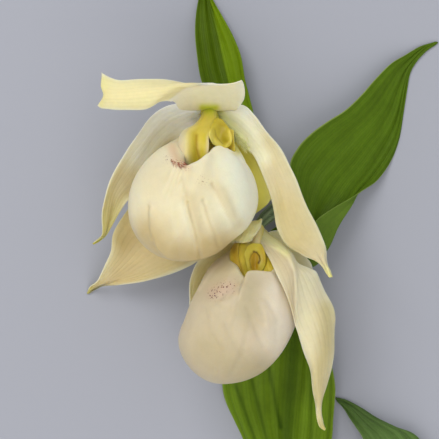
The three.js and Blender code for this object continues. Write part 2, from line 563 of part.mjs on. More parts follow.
const RIGHT_LEAF = [
  [[27.9, -15.3, 13.4], [28.8, -17, 13.8], [29.8, -18.3, 13.8], [31.1, -19.1, 13.4], [32.1, -19.5, 12.8]],
  [[21.2, -5.3, 15.6], [27.9, -8.6, 15.4], [35.1, -13.7, 15], [39.5, -19.5, 16.5], [34.2, -11.5, 19.5]],
  [[33.4, 2.3, 16], [36.8, -1, 15.5], [41.4, -6.9, 15], [45.6, -11.8, 16.5], [39.7, -1.3, 19.5]],
  [[30.9, 12.4, 15], [38, 6.9, 14], [44.7, 1, 13.5], [50, -2.7, 15.5], [46.8, 4.2, 18]],
  [[29.6, 22.9, 14.5], [41, 15.8, 12.5], [50.6, 8.6, 11.5], [55.2, 5.7, 12.5], [54.4, 8.6, 15]],
  [[33, 30.2, 14], [45.6, 22.1, 11], [54.8, 14.9, 8.5], [58.2, 12.2, 8], [59.9, 11.8, 9]],
  [[38.4, 36.1, 13], [51, 28.4, 9], [60.3, 21.6, 5.5], [63.6, 18.3, 4.5], [66.2, 16.4, 4]],
  [[45.2, 41.2, 12], [56.9, 34.7, 7.5], [65.7, 29.6, 3], [69.5, 26.7, 1.5], [72.2, 25, 0.5]],
  [[52.7, 46, 11], [62.8, 40.5, 6], [70.4, 36.8, 1.5], [73.5, 34.9, 0.6], [75.6, 34, 0.4]],
  [[59.4, 52.1, 9.5], [68, 47.3, 4.5], [74.1, 45.2, 0.3], [76, 44.5, 0.3], [77.3, 44.3, 0.3]],
  [[65.7, 59.2, 7.5], [72.2, 55.2, 3], [76.2, 54, 0.3], [77.7, 53.6, 0.3], [78.7, 53.6, 0.3]],
  [[72, 65.5, 5], [76.2, 62.6, 1.8], [78.5, 61.7, 0.3], [79.5, 61.5, 0.3], [80.1, 61.5, 0.3]],
  [[78.3, 69.3, 2.8], [80.6, 67.6, 1], [81.9, 67, 0.3], [82.5, 66.7, 0.3], [83, 66.6, 0.3]],
  [[84.2, 72.7, 1.2], [85.2, 71.8, 0.6], [85.9, 71.3, 0.4], [86.4, 71, 0.4], [86.9, 70.7, 0.4]],
  [[89.3, 74.3, 0.5], [89.7, 74, 0.4], [90.1, 73.8, 0.4], [90.4, 73.6, 0.4], [90.7, 73.4, 0.4]],
  [[91.3, 74.7, 0.4], [91.5, 74.6, 0.4], [91.7, 74.5, 0.4], [91.8, 74.4, 0.4], [91.9, 74.3, 0.4]],
];

const PLEATED_LEAF = [
  [[27.1, -131.3, 7.2], [28.4, -131.7, 7.7], [29.6, -132.1, 7.9], [30.9, -131.7, 7.7], [32.1, -131.3, 7.2]],
  [[22.1, -119.9, 6], [25.8, -120.8, 8.6], [29.2, -121.2, 8.2], [33, -120.8, 8.8], [37.2, -119.9, 7]],
  [[14.9, -105.6, 2.5], [21.6, -106.5, 9.5], [28.6, -106.9, 9], [36.3, -106.5, 10], [44.3, -105.2, 6]],
  [[9.7, -92.2, 0.4], [18.3, -92.6, 8.5], [27.7, -92.6, 9.4], [37.2, -92.6, 11], [47.3, -92.2, 6]],
  [[6.5, -85.8, 0.4], [16.2, -85.5, 7], [27.9, -85, 9.8], [38, -85, 11.5], [47.9, -84.6, 6]],
  [[4, -80, 0.4], [14.5, -78.8, 6.5], [28.4, -76.7, 10], [38.4, -77.1, 12], [48.3, -77.1, 6]],
  [[2.3, -73.9, 0.4], [13.7, -72, 7], [29, -69.1, 10.3], [38.9, -69.1, 12], [48.5, -70.4, 7]],
  [[1.5, -67.4, 2], [13.2, -64.9, 8.5], [29.6, -61.1, 10.6], [38.9, -61.1, 12.5], [47.7, -63.6, 9]],
  [[2.7, -59, 5], [13.7, -55.7, 10.5], [30.2, -51.9, 11], [38.4, -52.3, 13], [45.6, -55.7, 11]],
  [[6.1, -49.8, 8], [15.8, -46.4, 11.5], [30.9, -43.1, 11.5], [37.2, -43.5, 13], [42.2, -46.4, 12.5]],
  [[11.6, -41.6, 10], [19.5, -38.8, 12.2], [30.9, -35.5, 12.2], [35.1, -36.4, 13], [38, -38.6, 13]],
  [[20.5, -33.4, 12.3], [24.7, -31.2, 12.6], [30.2, -29.2, 12.6], [32.6, -30, 13], [34.2, -31.5, 13]],
  [[27.6, -28.2, 12.8], [28.7, -27.6, 12.8], [29.8, -27, 12.8], [30.6, -27.4, 12.8], [31.3, -28, 12.8]],
];

const LOWEST_LEAF = [
  [[33.7, -137.5, 4], [33.7, -135.5, 4.3], [33.7, -133.4, 4]],
  [[44.3, -143, 6], [42.6, -137.1, 7], [40.5, -131.3, 6]],
  [[61.1, -143.4, 9], [56.1, -135, 11], [51, -126.2, 9]],
  [[77.1, -135, 11], [68.7, -126.6, 14], [59.4, -118.2, 12]],
  [[88.4, -121.2, 11], [76.2, -114.9, 15], [63.2, -108.6, 13]],
  [[90.9, -105.6, 9], [77.1, -103.1, 13.5], [63.2, -100.6, 12]],
  [[83.4, -91.5, 6], [71.2, -92, 10.5], [60.3, -92.2, 9.5]],
  [[74.4, -87, 4], [65.3, -86.9, 8], [57.1, -87.2, 7]],
  [[66.7, -83.2, 2.5], [60.7, -83.2, 5.5], [54.6, -83.4, 5]],
  [[59.7, -78.8, 1.2], [55.9, -79, 3], [52.2, -79.2, 3]],
  [[53.1, -75.9, 0.5], [51.4, -76.4, 0.9], [50, -77.1, 1]],
  [[49, -74.6, 0.4], [48.7, -75, 0.4], [48.8, -75.5, 0.4]],
];

// ---------------------------------------------------------------- the pieces

function finish(colour, roughness) {
  return new THREE.MeshStandardMaterial({ color: colour, roughness, metalness: 0 });
}

const CREAM = finish(0xe9dfc0, 0.6);
const SEPAL_CREAM = finish(0xe6dfae, 0.6);
const COLUMN_YELLOW = finish(0xc9b43a, 0.55);
const OVARY_GREEN = finish(0x6f8a5a, 0.6);
const STEM_GREEN = finish(0x6d8a35, 0.6);
const LEAF_GREEN = finish(0x4f6d1c, 0.6);

const part = new THREE.Group();
part.position.set(-CENTRE[0], -CENTRE[1], 0);

function add(name, geometry, material) {
  const mesh = new THREE.Mesh(geometry, material.clone());
  mesh.name = name;
  part.add(mesh);
}

add("stem", rod(STEM, 30, 10), STEM_GREEN);
add("upper_bract", blade(UPPER_BRACT, 20, 4, LEAF), LEAF_GREEN);
add("right_leaf", blade(RIGHT_LEAF, 30, 8, LEAF), LEAF_GREEN);
add("pleated_leaf", blade(PLEATED_LEAF, 24, 8, LEAF), LEAF_GREEN);
add("lowest_leaf", blade(LOWEST_LEAF, 22, 4, LEAF), LEAF_GREEN);

add("upper_ovary", rod(UPPER_OVARY, 18, 10), OVARY_GREEN);
add("upper_dorsal_sepal", blade(UPPER_DORSAL_SEPAL, 20, 8, PETAL), SEPAL_CREAM);
add("upper_synsepal", blade(UPPER_SYNSEPAL, 24, 6, PETAL), SEPAL_CREAM);
add("upper_left_petal", blade(UPPER_LEFT_PETAL, 24, 4, PETAL), SEPAL_CREAM);
add("upper_right_petal", blade(UPPER_RIGHT_PETAL, 30, 4, PETAL), SEPAL_CREAM);
add("upper_pouch", joined(pouchBody(UPPER_POUCH), blade(UPPER_LOBE, 10, 6, LOBE)), CREAM);
add("upper_column", joined(rod(UPPER_COLUMN, 8, 10), blade(UPPER_SHIELD, 6, 6, SHIELD)), COLUMN_YELLOW);

add("lower_ovary", rod(LOWER_OVARY, 16, 10), OVARY_GREEN);
add("lower_dorsal_sepal", blade(LOWER_DORSAL_SEPAL, 10, 8, PETAL), SEPAL_CREAM);
add("lower_synsepal", blade(LOWER_SYNSEPAL, 18, 6, PETAL), SEPAL_CREAM);
add("lower_left_petal", blade(LOWER_LEFT_PETAL, 20, 4, PETAL), SEPAL_CREAM);
add("lower_right_petal", blade(LOWER_RIGHT_PETAL, 32, 6, PETAL), SEPAL_CREAM);
add(
  "lower_pouch",
  joined(pouchBody(LOWER_POUCH), blade(LOWER_LEFT_LOBE, 8, 4, LOBE), blade(LOWER_RIGHT_LOBE, 8, 4, LOBE)),
  CREAM,
);
add("lower_column", joined(rod(LOWER_COLUMN, 8, 10), blade(LOWER_SHIELD, 6, 6, SHIELD)), COLUMN_YELLOW);

export default part;
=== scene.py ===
"""A cut flowering stem of a lady's slipper orchid, lying on its back with both blooms up.

Lengths in the tables are millimetres. A point (x, y, z) shows at x, y in the plane of the blooms for an eye
one metre above it, and z is its height over the surface that the stem lies on.
"""
import logging
import math
from dataclasses import dataclass, field, replace
from enum import Enum

import bpy
import numpy as np
from bpy.types import Material, Mesh, Node, NodeInputs, NodeOutputs, NodeSocket, NodeTree, Object
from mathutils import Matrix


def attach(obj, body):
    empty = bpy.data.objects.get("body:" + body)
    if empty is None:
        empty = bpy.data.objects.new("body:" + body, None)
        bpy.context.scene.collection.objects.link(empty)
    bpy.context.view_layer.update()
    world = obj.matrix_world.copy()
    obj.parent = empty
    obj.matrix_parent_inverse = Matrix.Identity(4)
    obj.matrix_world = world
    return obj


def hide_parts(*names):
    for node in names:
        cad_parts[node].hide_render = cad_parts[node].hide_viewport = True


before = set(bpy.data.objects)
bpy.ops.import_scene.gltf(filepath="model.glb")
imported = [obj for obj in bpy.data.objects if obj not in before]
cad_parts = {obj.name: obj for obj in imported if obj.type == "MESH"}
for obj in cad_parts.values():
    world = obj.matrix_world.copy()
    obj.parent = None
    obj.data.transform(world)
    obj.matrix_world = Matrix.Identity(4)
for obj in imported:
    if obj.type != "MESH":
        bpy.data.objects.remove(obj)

LOG = logging.getLogger("orchid")
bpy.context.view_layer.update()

# --- sizes

MM = 0.001
EYE_DISTANCE = 1000
BLOOM_PLANE = 45
CENTRE = (18.6, -21.4)
PETAL = 0.8
LEAF = 0.8
POUCH_WALL = 1.1
LOBE = 1
SHIELD = 1
KNOB = 3
UPPER_KNOB = (-4.4, 43.5, 33)
LOWER_KNOB = (15.3, -4, 29)
BALL_ANGLES = (-48, -20, 8, 36, 62, 80)
ROUND_UNTIL = 0.62
RIM_FROM = 0.55
ROUNDED = 0.5
POUCH_SIDES = 232
POUCH_RINGS = 128
ROLL_RINGS = 12
ROLL_IN = 0.97
ROLL_DOWN = 0.47
LOW_RING = 20

Point = tuple[float, float, float]
Spot = tuple[float, float]
Stations = tuple[tuple[Point, ...], ...]
RodStations = tuple[tuple[float, float, float, float], ...]
Colour = tuple[float, float, float, float]
Tints = tuple[tuple[str, Colour], ...]
Array = np.ndarray
Values = dict[str, Array]
Walls = tuple[Array, Array]

# --- shapes

UPPER_DORSAL_SEPAL: Stations = (
    ((-6.9, 46.2, 34.5), (-5.7, 46.7, 34), (-4.4, 46.8, 34), (-3.2, 46.7, 34), (-1.9, 46.2, 34.5)),
    ((-16.2, 47.3, 43), (-11.1, 46.5, 41), (-4.4, 46.2, 40.5), (2.7, 46.4, 41), (9, 46.6, 44)),
    ((-19.1, 49.6, 55), (-13.2, 51, 51), (-4.8, 51.7, 49), (3.6, 51.7, 49.5), (10.7, 51.5, 51)),
    ((-21, 50.6, 63), (-16.6, 54, 62), (-8.2, 56.1, 60), (1.1, 55.9, 58), (8.6, 57.3, 57)),
    ((-24.2, 49.4, 67), (-20.4, 52.7, 68), (-14.1, 56.1, 67), (-6.9, 56.8, 65), (-1.5, 56.9, 63)),
    ((-27.9, 47.4, 69), (-25, 51, 71), (-21.6, 54.4, 71), (-17, 56.9, 69.5), (-12.4, 57.7, 67)),
    ((-32.6, 46, 69), (-30.5, 49.8, 71), (-27.9, 53.6, 71.5), (-25.4, 56.5, 70), (-22.9, 58.8, 67.5)),
    ((-39.7, 46, 68), (-38, 49.4, 70), (-36.3, 52.7, 70.5), (-34.2, 56.1, 69.5), (-32.1, 58.7, 67)),
    ((-46, 46.3, 66.5), (-45.2, 49.4, 68), (-43.9, 52.3, 68.5), (-42.4, 55.2, 68), (-41, 58.2, 66)),
    ((-49.8, 46.6, 65), (-48.5, 49.4, 66), (-47.7, 52.3, 66.5), (-47.3, 56.1, 66), (-46.4, 59.9, 65)),
    ((-51.3, 47.9, 64), (-49.6, 50.2, 65), (-48.7, 52.3, 65.5), (-49.8, 56.1, 65), (-49.1, 60.9, 64)),
)

UPPER_LEFT_PETAL: Stations = (
    ((-7, 47.4, 34), (-6.8, 44.4, 33.8), (-5.4, 41.2, 33.4)),
    ((-17, 48.6, 39.5), (-13.4, 43.6, 36.4), (-9.6, 37.8, 35)),
    ((-24.2, 46.7, 43), (-20, 40.2, 37.4), (-14.6, 33, 34)),
    ((-29.6, 42, 45), (-25.4, 35.5, 38), (-20.4, 28.4, 33)),
    ((-34.7, 35.3, 46), (-30.2, 29.2, 38), (-25, 22.5, 33)),
    ((-39.5, 28.4, 46), (-35.1, 22.9, 38), (-29.6, 16.6, 33.5)),
    ((-44.1, 20.8, 45), (-39.7, 16.2, 38), (-34.2, 11.1, 33.5)),
    ((-47.7, 12.4, 43), (-43.5, 10.3, 37.5), (-38.6, 8.2, 35)),
    ((-49.2, 4, 41), (-45.6, 3.8, 37), (-41.6, 3.6, 35.5)),
    ((-49, -5.5, 37), (-48.1, -5.8, 35.8), (-47, -5.9, 35.5)),
    ((-51.5, -8.4, 35.5), (-50.6, -8.6, 34.8), (-49.8, -8.7, 34.5)),
    ((-53.4, -10, 34), (-53.2, -10.3, 33.8), (-52.9, -10.6, 33.5)),
)

UPPER_RIGHT_PETAL: Stations = (
    ((-0.8, 41.8, 34.5), (-1.1, 44.2, 36.5), (-1.6, 47.4, 36)),
    ((-0.4, 39.6, 36), (4.8, 44.3, 41), (9.2, 48.2, 42)),
    ((3.4, 36.8, 38), (9.9, 41.2, 43), (14.5, 44.2, 44.5)),
    ((9.2, 32.2, 40.2), (15.4, 35.4, 44), (19.7, 37.3, 45)),
    ((13.8, 27.2, 41.6), (19.8, 29.8, 44), (24.8, 31.3, 47)),
    ((17, 21.4, 44), (22.9, 23.1, 46), (28.8, 24.4, 49)),
    ((19.5, 15.3, 45), (25.6, 16.6, 47.5), (31.9, 18.1, 50)),
    ((21.4, 9, 46), (27.9, 9.9, 49), (34.5, 10.7, 51)),
    ((22.9, 2.3, 47), (30, 3.2, 50), (37.4, 4.2, 51.5)),
    ((24.4, -4, 47.5), (32.6, -3.2, 51), (41, -2.5, 52)),
    ((28.1, -10.9, 48), (35.7, -9, 52), (43.7, -8.8, 52)),
    ((33.8, -14.3, 49), (39.5, -13.2, 52), (45, -13, 51.5)),
    ((39.1, -16.6, 50), (42.2, -16.4, 51.5), (45.2, -16.8, 51)),
    ((42.8, -19.5, 50.5), (44.3, -19.4, 51), (45.7, -19.7, 50.5)),
    ((44.7, -22.5, 50.5), (45.8, -22.3, 50.8), (46.8, -22.1, 50.5)),
    ((46, -24.4, 50.5), (46.8, -24.3, 50.6), (47.6, -24.2, 50.5)),
)

UPPER_SYNSEPAL: Stations = (
    ((-7.1, 41.3, 31), (-5.6, 40.6, 30.6), (-4, 40.7, 30.6)),
    ((-12.4, 38, 31), (-3.6, 33.4, 27.5), (7.8, 34.2, 32)),
    ((-20, 30.9, 30), (-4.4, 22.5, 24), (18.7, 24.6, 34)),
    ((-27.5, 20.8, 29), (-8.2, 11.6, 22), (22.1, 16.2, 35)),
    ((-33.4, 12.4, 28.5), (-12.4, 3.6, 20.5), (21.2, 7.8, 33)),
    ((-38, 5, 28), (-17.4, -3.2, 19.5), (12.8, 0.6, 29)),
    ((-42.2, -0.8, 26.5), (-23.3, -8.6, 18), (1.1, -9.5, 25)),
    ((-44.9, -6.7, 24), (-29.2, -13.2, 16), (-9.5, -17.9, 21)),
    ((-45.7, -12.8, 20), (-34.9, -17.9, 13.5), (-20.8, -23.1, 17)),
    ((-48.1, -19.1, 15.5), (-41, -22.3, 10), (-31.3, -26, 12.5)),
    ((-51.2, -24.8, 9.5), (-46.8, -25.8, 6.5), (-41.8, -27.2, 8)),
    ((-54.2, -28.4, 3.5), (-51.9, -28.3, 2.2), (-49.1, -28.1, 2.8)),
    ((-55.9, -31, 0.4), (-55.5, -31.2, 0.4), (-55.1, -31.3, 0.4)),
)

UPPER_LOBE: Stations = (
    ((-6.6, 45.6, 40), (-4.9, 46.3, 41.2), (-3.2, 46.3, 41.2), (-1.2, 45.6, 40)),
    ((-8.1, 42.6, 43.8), (-6, 43.2, 46), (-3.8, 43.2, 46), (-1.6, 42.4, 44.4)),
    ((-11.4, 39.2, 46.4), (-8.8, 40, 49.2), (-5.8, 40, 49.2), (-2.8, 39.4, 47.6)),
    ((-15.8, 36.6, 49.4), (-12.6, 37.4, 53), (-8.8, 36.8, 51.8), (-4.4, 36, 52)),
    ((-17.4, 32.2, 53), (-13.8, 32.4, 57), (-9.3, 32, 54.8), (-4.4, 31.4, 56.2)),
    ((-17.2, 27.4, 56.4), (-13.4, 27, 58.8), (-8.9, 27, 56), (-4.6, 27.7, 57)),
    ((-16, 23, 58.2), (-12, 22.2, 57.8), (-8.5, 22.5, 55.4), (-5.6, 23.5, 54.8)),
    ((-14, 19.5, 57), (-11, 19.3, 56), (-8.3, 20, 54), (-6, 21, 53.5)),
)

UPPER_RIGHT_LOBE: Stations = (
    ((-2.4, 38.6, 43), (2, 38.6, 43), (6, 37.6, 44)),
    ((-3.2, 34.8, 45.5), (1.4, 34.6, 45.2), (6.2, 33.4, 47.4)),
    ((-4.4, 31.2, 47.6), (1.2, 31, 46.8), (6.6, 29.8, 49.8)),
    ((-4.8, 27.4, 50), (2, 28.4, 48.4), (6.8, 26.8, 47)),
)

UPPER_COLUMN: RodStations = (
    (-4.4, 44.6, 34.2, 3.6),
    (-4.3, 44.4, 37, 3.5),
    (-3.6, 43, 39.6, 3.2),
    (0.6, 35.2, 45.6, 2),
)

UPPER_SHIELD: Stations = (
    ((-2.6, 42, 45), (-1.6, 42.4, 45.6), (-0.6, 42.4, 45.6), (0.6, 42, 45.2), (1.6, 41.4, 44.4)),
    ((-3.6, 39.6, 47.8), (-1.9, 39.8, 47.4), (0, 39.8, 47.2), (1.9, 39.6, 47.2), (3.6, 39, 47)),
    ((-4.4, 36.8, 51.6), (-2.4, 37, 49.2), (0.2, 37.2, 48), (3, 36.9, 48.8), (4.9, 36.3, 50.4)),
    ((-4.2, 34.4, 53.2), (-2.5, 34.6, 50.2), (0.4, 34.5, 48.4), (3.4, 34.3, 49.8), (5.2, 33.8, 52)),
    ((-3, 32.2, 53), (-1.7, 32, 50.6), (0.8, 31.9, 48.8), (3.3, 31.8, 50), (4.8, 31.6, 52.2)),
    ((-1, 30.6, 51.8), (-0.2, 30.2, 50.4), (1.1, 29.9, 49.4), (2.5, 29.9, 50), (3.6, 30.2, 51)),
    ((0.4, 29.4, 50.6), (0.8, 29.2, 50.2), (1.3, 29, 49.8), (1.8, 29.1, 50), (2.3, 29.3, 50.2)),
)

UPPER_OVARY: RodStations = (
    (13.87, 24.86, 17, 2.3),
    (8.6, 30.9, 17.5, 2.6),
    (2.7, 37.6, 21.5, 2.6),
    (-2.3, 41.9, 27.6, 2.3),
)

LOWER_DORSAL_SEPAL: Stations = (
    ((16.8, -1.4, 31.2), (15.5, -1, 31.2), (14.3, -1, 31.2), (13, -1.6, 31.2), (12, -2.3, 31.2)),
    ((17.5, -0.7, 39), (15.3, -1.9, 40), (12.4, -2.1, 39.5), (8.6, -1.5, 37), (4.8, -1.1, 35)),
    ((17.2, -3.3, 42.5), (14.5, -4, 43.5), (11.1, -4.4, 42.5), (7.3, -4, 39), (2.7, -3.2, 36)),
    ((15.5, -5.8, 44.5), (13.2, -6.5, 45.5), (10.1, -6.9, 45), (6.5, -6.7, 41.5), (1.9, -5.7, 37)),
    ((14, -8.2, 45), (11.8, -8.8, 46), (8.8, -9, 46), (5.7, -8.8, 43), (1.5, -8, 38.5)),
    ((13, -9.2, 44.5), (11.1, -9.7, 45.5), (8.4, -9.7, 45.5), (5.3, -9.8, 43), (1.3, -9.5, 39)),
)

LOWER_LEFT_PETAL: Stations = (
    ((12, -3.2, 29.5), (11.8, -4.6, 29), (12.1, -6.1, 28.5)),
    ((7.8, -7.8, 30.5), (9.5, -10.7, 27.5), (11, -13.2, 25)),
    ((1, -10.7, 32), (4.4, -15.8, 27.5), (8.2, -20.4, 23.5)),
    ((-5, -14.1, 33), (-0.6, -20.4, 28), (4.8, -27.1, 22.8)),
    ((-9.3, -17.9, 33.5), (-4.4, -25, 27.5), (1.1, -32.6, 22.3)),
    ((-11.8, -23.3, 33), (-6.9, -30, 27), (-1.5, -37.2, 22)),
    ((-12.8, -29.6, 31.5), (-8.2, -35.5, 26.5), (-3.2, -41.8, 22)),
    ((-12.6, -36.3, 29), (-8.6, -41.4, 24.5), (-4.4, -46.8, 21)),
    ((-11.1, -43.1, 26), (-8, -46.8, 22.5), (-4.6, -51, 20)),
    ((-5.7, -54.8, 20), (-5.3, -55.2, 19.4), (-4.7, -55.7, 19)),
)

LOWER_RIGHT_PETAL: Stations = (
    ((16.4, -5.4, 34.6), (17.4, -4.8, 34), (18.2, -4.2, 33), (18.7, -3.6, 31)),
    ((17.6, -10.6, 43.4), (20, -9, 40.4), (21.2, -7.6, 36.5), (22, -6.7, 35)),
    ((20.6, -16.2, 52), (24.8, -13.7, 48), (26.5, -11.3, 43), (27.3, -10.4, 40)),
    ((23.5, -22.1, 59), (28.8, -17.9, 55), (30, -15.8, 48), (30.6, -15.1, 44)),
    ((26.3, -27.9, 62), (30.7, -22.9, 58), (32.1, -20.2, 51), (33, -18.7, 46)),
    ((28.8, -34.7, 62), (31.2, -29.6, 59), (34.7, -23.7, 53.5), (38.2, -21.1, 47)),
    ((31.1, -41, 59), (32.3, -36.8, 57.5), (37.2, -29.2, 54), (41.2, -22.5, 48)),
    ((32.3, -45.6, 56), (34.2, -43.1, 55.5), (40.1, -35.9, 53), (44.5, -30.5, 47.5)),
    ((33.5, -49.8, 53), (36.3, -48.1, 54), (42.8, -43.1, 52), (47.8, -38.4, 46.5)),
    ((35.1, -54.8, 50), (38.4, -53.6, 52), (44.3, -50, 50), (48.6, -46.4, 45)),
    ((36.8, -60.3, 47.5), (39.7, -59.4, 49.5), (44.7, -56.9, 48), (48.5, -54.2, 43.5)),
    ((38.2, -65.7, 45), (40.5, -65.3, 47), (44.1, -63.4, 45.5), (47.1, -62, 42)),
    ((39.4, -71.2, 42.5), (41, -70.9, 44), (43, -70.4, 43), (44.9, -69.7, 40.5)),
    ((40.1, -76.7, 40), (41.2, -76.4, 41), (42.3, -76.2, 40.8), (43.5, -75.8, 39.5)),
    ((40.5, -82.1, 38), (41.2, -81.9, 38.6), (42.1, -81.7, 38.5), (43.1, -81.5, 37.8)),
    ((41.8, -86.7, 36.5), (42.3, -86.3, 36.8), (42.8, -85.9, 36.8), (43.5, -85.3, 36.5)),
    ((44, -88.7, 35.5), (44.3, -88.5, 35.6), (44.5, -88.3, 35.6), (44.7, -88, 35.5)),
)

LOWER_SYNSEPAL: Stations = (
    ((14.5, -6.3, 26.8), (16.2, -6.6, 26.5), (17.9, -6, 26.8)),
    ((9.9, -12.8, 21.5), (18.3, -13.2, 21), (25.8, -4.8, 28)),
    ((4.8, -20.4, 20), (19.5, -21.2, 19), (33.8, -12.2, 28)),
    ((1.9, -28.8, 18.8), (19.5, -29.6, 17.8), (38.6, -19.3, 27)),
    ((0.6, -37.2, 18.5), (19.1, -37.6, 17), (37.6, -28.8, 25)),
    ((1.1, -45.6, 18), (18.5, -45.6, 16.5), (32.1, -39.3, 22)),
    ((4, -52.7, 17.5), (17.9, -52.7, 16), (27.9, -48.5, 19)),
    ((8.2, -58.2, 17), (17, -58.6, 15.8), (23.3, -56.5, 17)),
    ((15.5, -64.5, 16), (16, -64.8, 16), (16.5, -64.7, 16)),
)

LOWER_LEFT_LOBE: Stations = (
    ((6.6, -9.6, 40.6), (8.4, -9, 41.8), (10.6, -8.8, 42), (13, -8.8, 41)),
    ((4.8, -12.6, 45.6), (6.9, -12.2, 47.5), (9.4, -11.8, 46.8), (12.2, -11.6, 45.4)),
    ((4.2, -16, 49.8), (6.7, -15.6, 51.6), (9.1, -15.2, 50.6), (11.2, -15, 49)),
    ((5.2, -19.8, 52.8), (7.6, -19.4, 53.8), (9.8, -19, 52.6), (11.4, -18.8, 50.6)),
    ((7.2, -23.4, 54.4), (9.2, -23.2, 54), (10.9, -22.8, 52.8), (12.2, -22.4, 51)),
    ((9.4, -26, 54), (10.6, -25.8, 53.6), (11.8, -25.6, 52.8), (12.8, -25.4, 52)),
)

LOWER_RIGHT_LOBE: Stations = (
    ((18.4, -9.8, 38), (20.2, -10.6, 38.8), (22, -11.8, 40.2)),
    ((18.2, -13.2, 43.2), (20.2, -13.9, 43.8), (22.6, -14.9, 43.8)),
    ((18.4, -17, 47), (20.8, -17.4, 48.4), (23.8, -18.3, 48.4)),
    ((18.4, -20.6, 49.8), (21, -20.9, 51.4), (24.4, -21.3, 51.4)),
    ((18.4, -23.7, 50.4), (21, -24.2, 51.6), (24.4, -24.6, 51.2)),
)

LOWER_COLUMN: RodStations = (
    (15.6, -4.2, 31.6, 3.2),
    (15.6, -5.4, 34, 3.2),
    (15.2, -10.4, 39.8, 2.8),
    (15, -16, 44.4, 2),
)

LOWER_SHIELD: Stations = (
    ((12.2, -10.6, 46.2), (13.8, -10.2, 46), (15, -10.1, 45.9), (16.4, -10.2, 46), (17.8, -10.6, 46.2)),
    ((10.8, -13, 48.8), (12.9, -12.8, 48.2), (15, -12.7, 47.8), (17, -12.8, 48.2), (18.9, -13, 48.8)),
    ((10.2, -16.2, 50), (12.7, -16.2, 49.8), (14.9, -16.2, 49.2), (17.1, -16.2, 49.8), (19.5, -16.2, 50)),
    ((10.6, -19.4, 50.8), (12.8, -19.5, 50.6), (14.9, -19.5, 49.9), (16.9, -19.5, 50.6), (19.2, -19.4, 50.6)),
    ((12.2, -22.2, 50.8), (13.6, -22.4, 50.6), (14.9, -22.4, 50.2), (16.2, -22.4, 50.6), (17.6, -22.2, 50.6)),
    ((14, -24, 50.4), (14.5, -24.1, 50.2), (14.9, -24.2, 50), (15.4, -24.1, 50.2), (15.9, -24, 50.4)),
)

LOWER_OVARY: RodStations = (
    (26.15, 5.6, 16.25, 2.3),
    (22.9, 3.6, 21.5, 2.9),
    (18.9, 0.3, 25.6, 2.6),
)

STEM: RodStations = (
    (29.6, -143, 3.6, 3.6),
    (29.6, -126.2, 3.5, 3.5),
    (29.2, -105.2, 3.7, 3.4),
    (29, -84.2, 4.2, 3.3),
    (29.2, -63.2, 5, 3.2),
    (29.6, -46.4, 6.2, 3.1),
    (29.6, -29.6, 8, 3),
    (29.6, -14.9, 10, 2.9),
    (29.2, -2.3, 12, 2.8),
    (27.9, 6.9, 14, 2.8),
    (23.7, 13.7, 16, 2.6),
    (18.3, 20, 17, 2.5),
    (14.1, 24.6, 17, 2.4),
)

UPPER_BRACT: Stations = (
    ((12.8, 22.5, 13.6), (14.5, 21.6, 13.4), (16.4, 22.5, 13.6)),
    ((6.9, 31.3, 13), (12, 30.5, 12), (17, 30, 13.5)),
    ((0.6, 41.8, 12.5), (8, 42.6, 10.5), (14.9, 42.6, 13)),
    ((-4.4, 51, 12), (5.5, 51.5, 9.5), (12.7, 51, 12)),
    ((-7.6, 58.8, 11), (3.4, 59.4, 8.5), (10.8, 58.6, 11)),
    ((-9.4, 67.4, 9.5), (1.3, 67.8, 7), (9.2, 68.5, 9.5)),
    ((-10.3, 75.8, 7), (-0.7, 76, 5), (5.9, 76.7, 7)),
    ((-10, 84.6, 4.5), (-2.9, 84.6, 3), (1.3, 85, 4.5)),
    ((-8.9, 92.2, 2), (-4.8, 92.2, 1.2), (-2.7, 92.2, 2)),
    ((-7.4, 98.1, 0.4), (-6.3, 98.3, 0.4), (-5.5, 97.7, 0.4)),
    ((-6.4, 101.4, 0.4), (-6.1, 101.6, 0.4), (-5.7, 101.4, 0.4)),
)

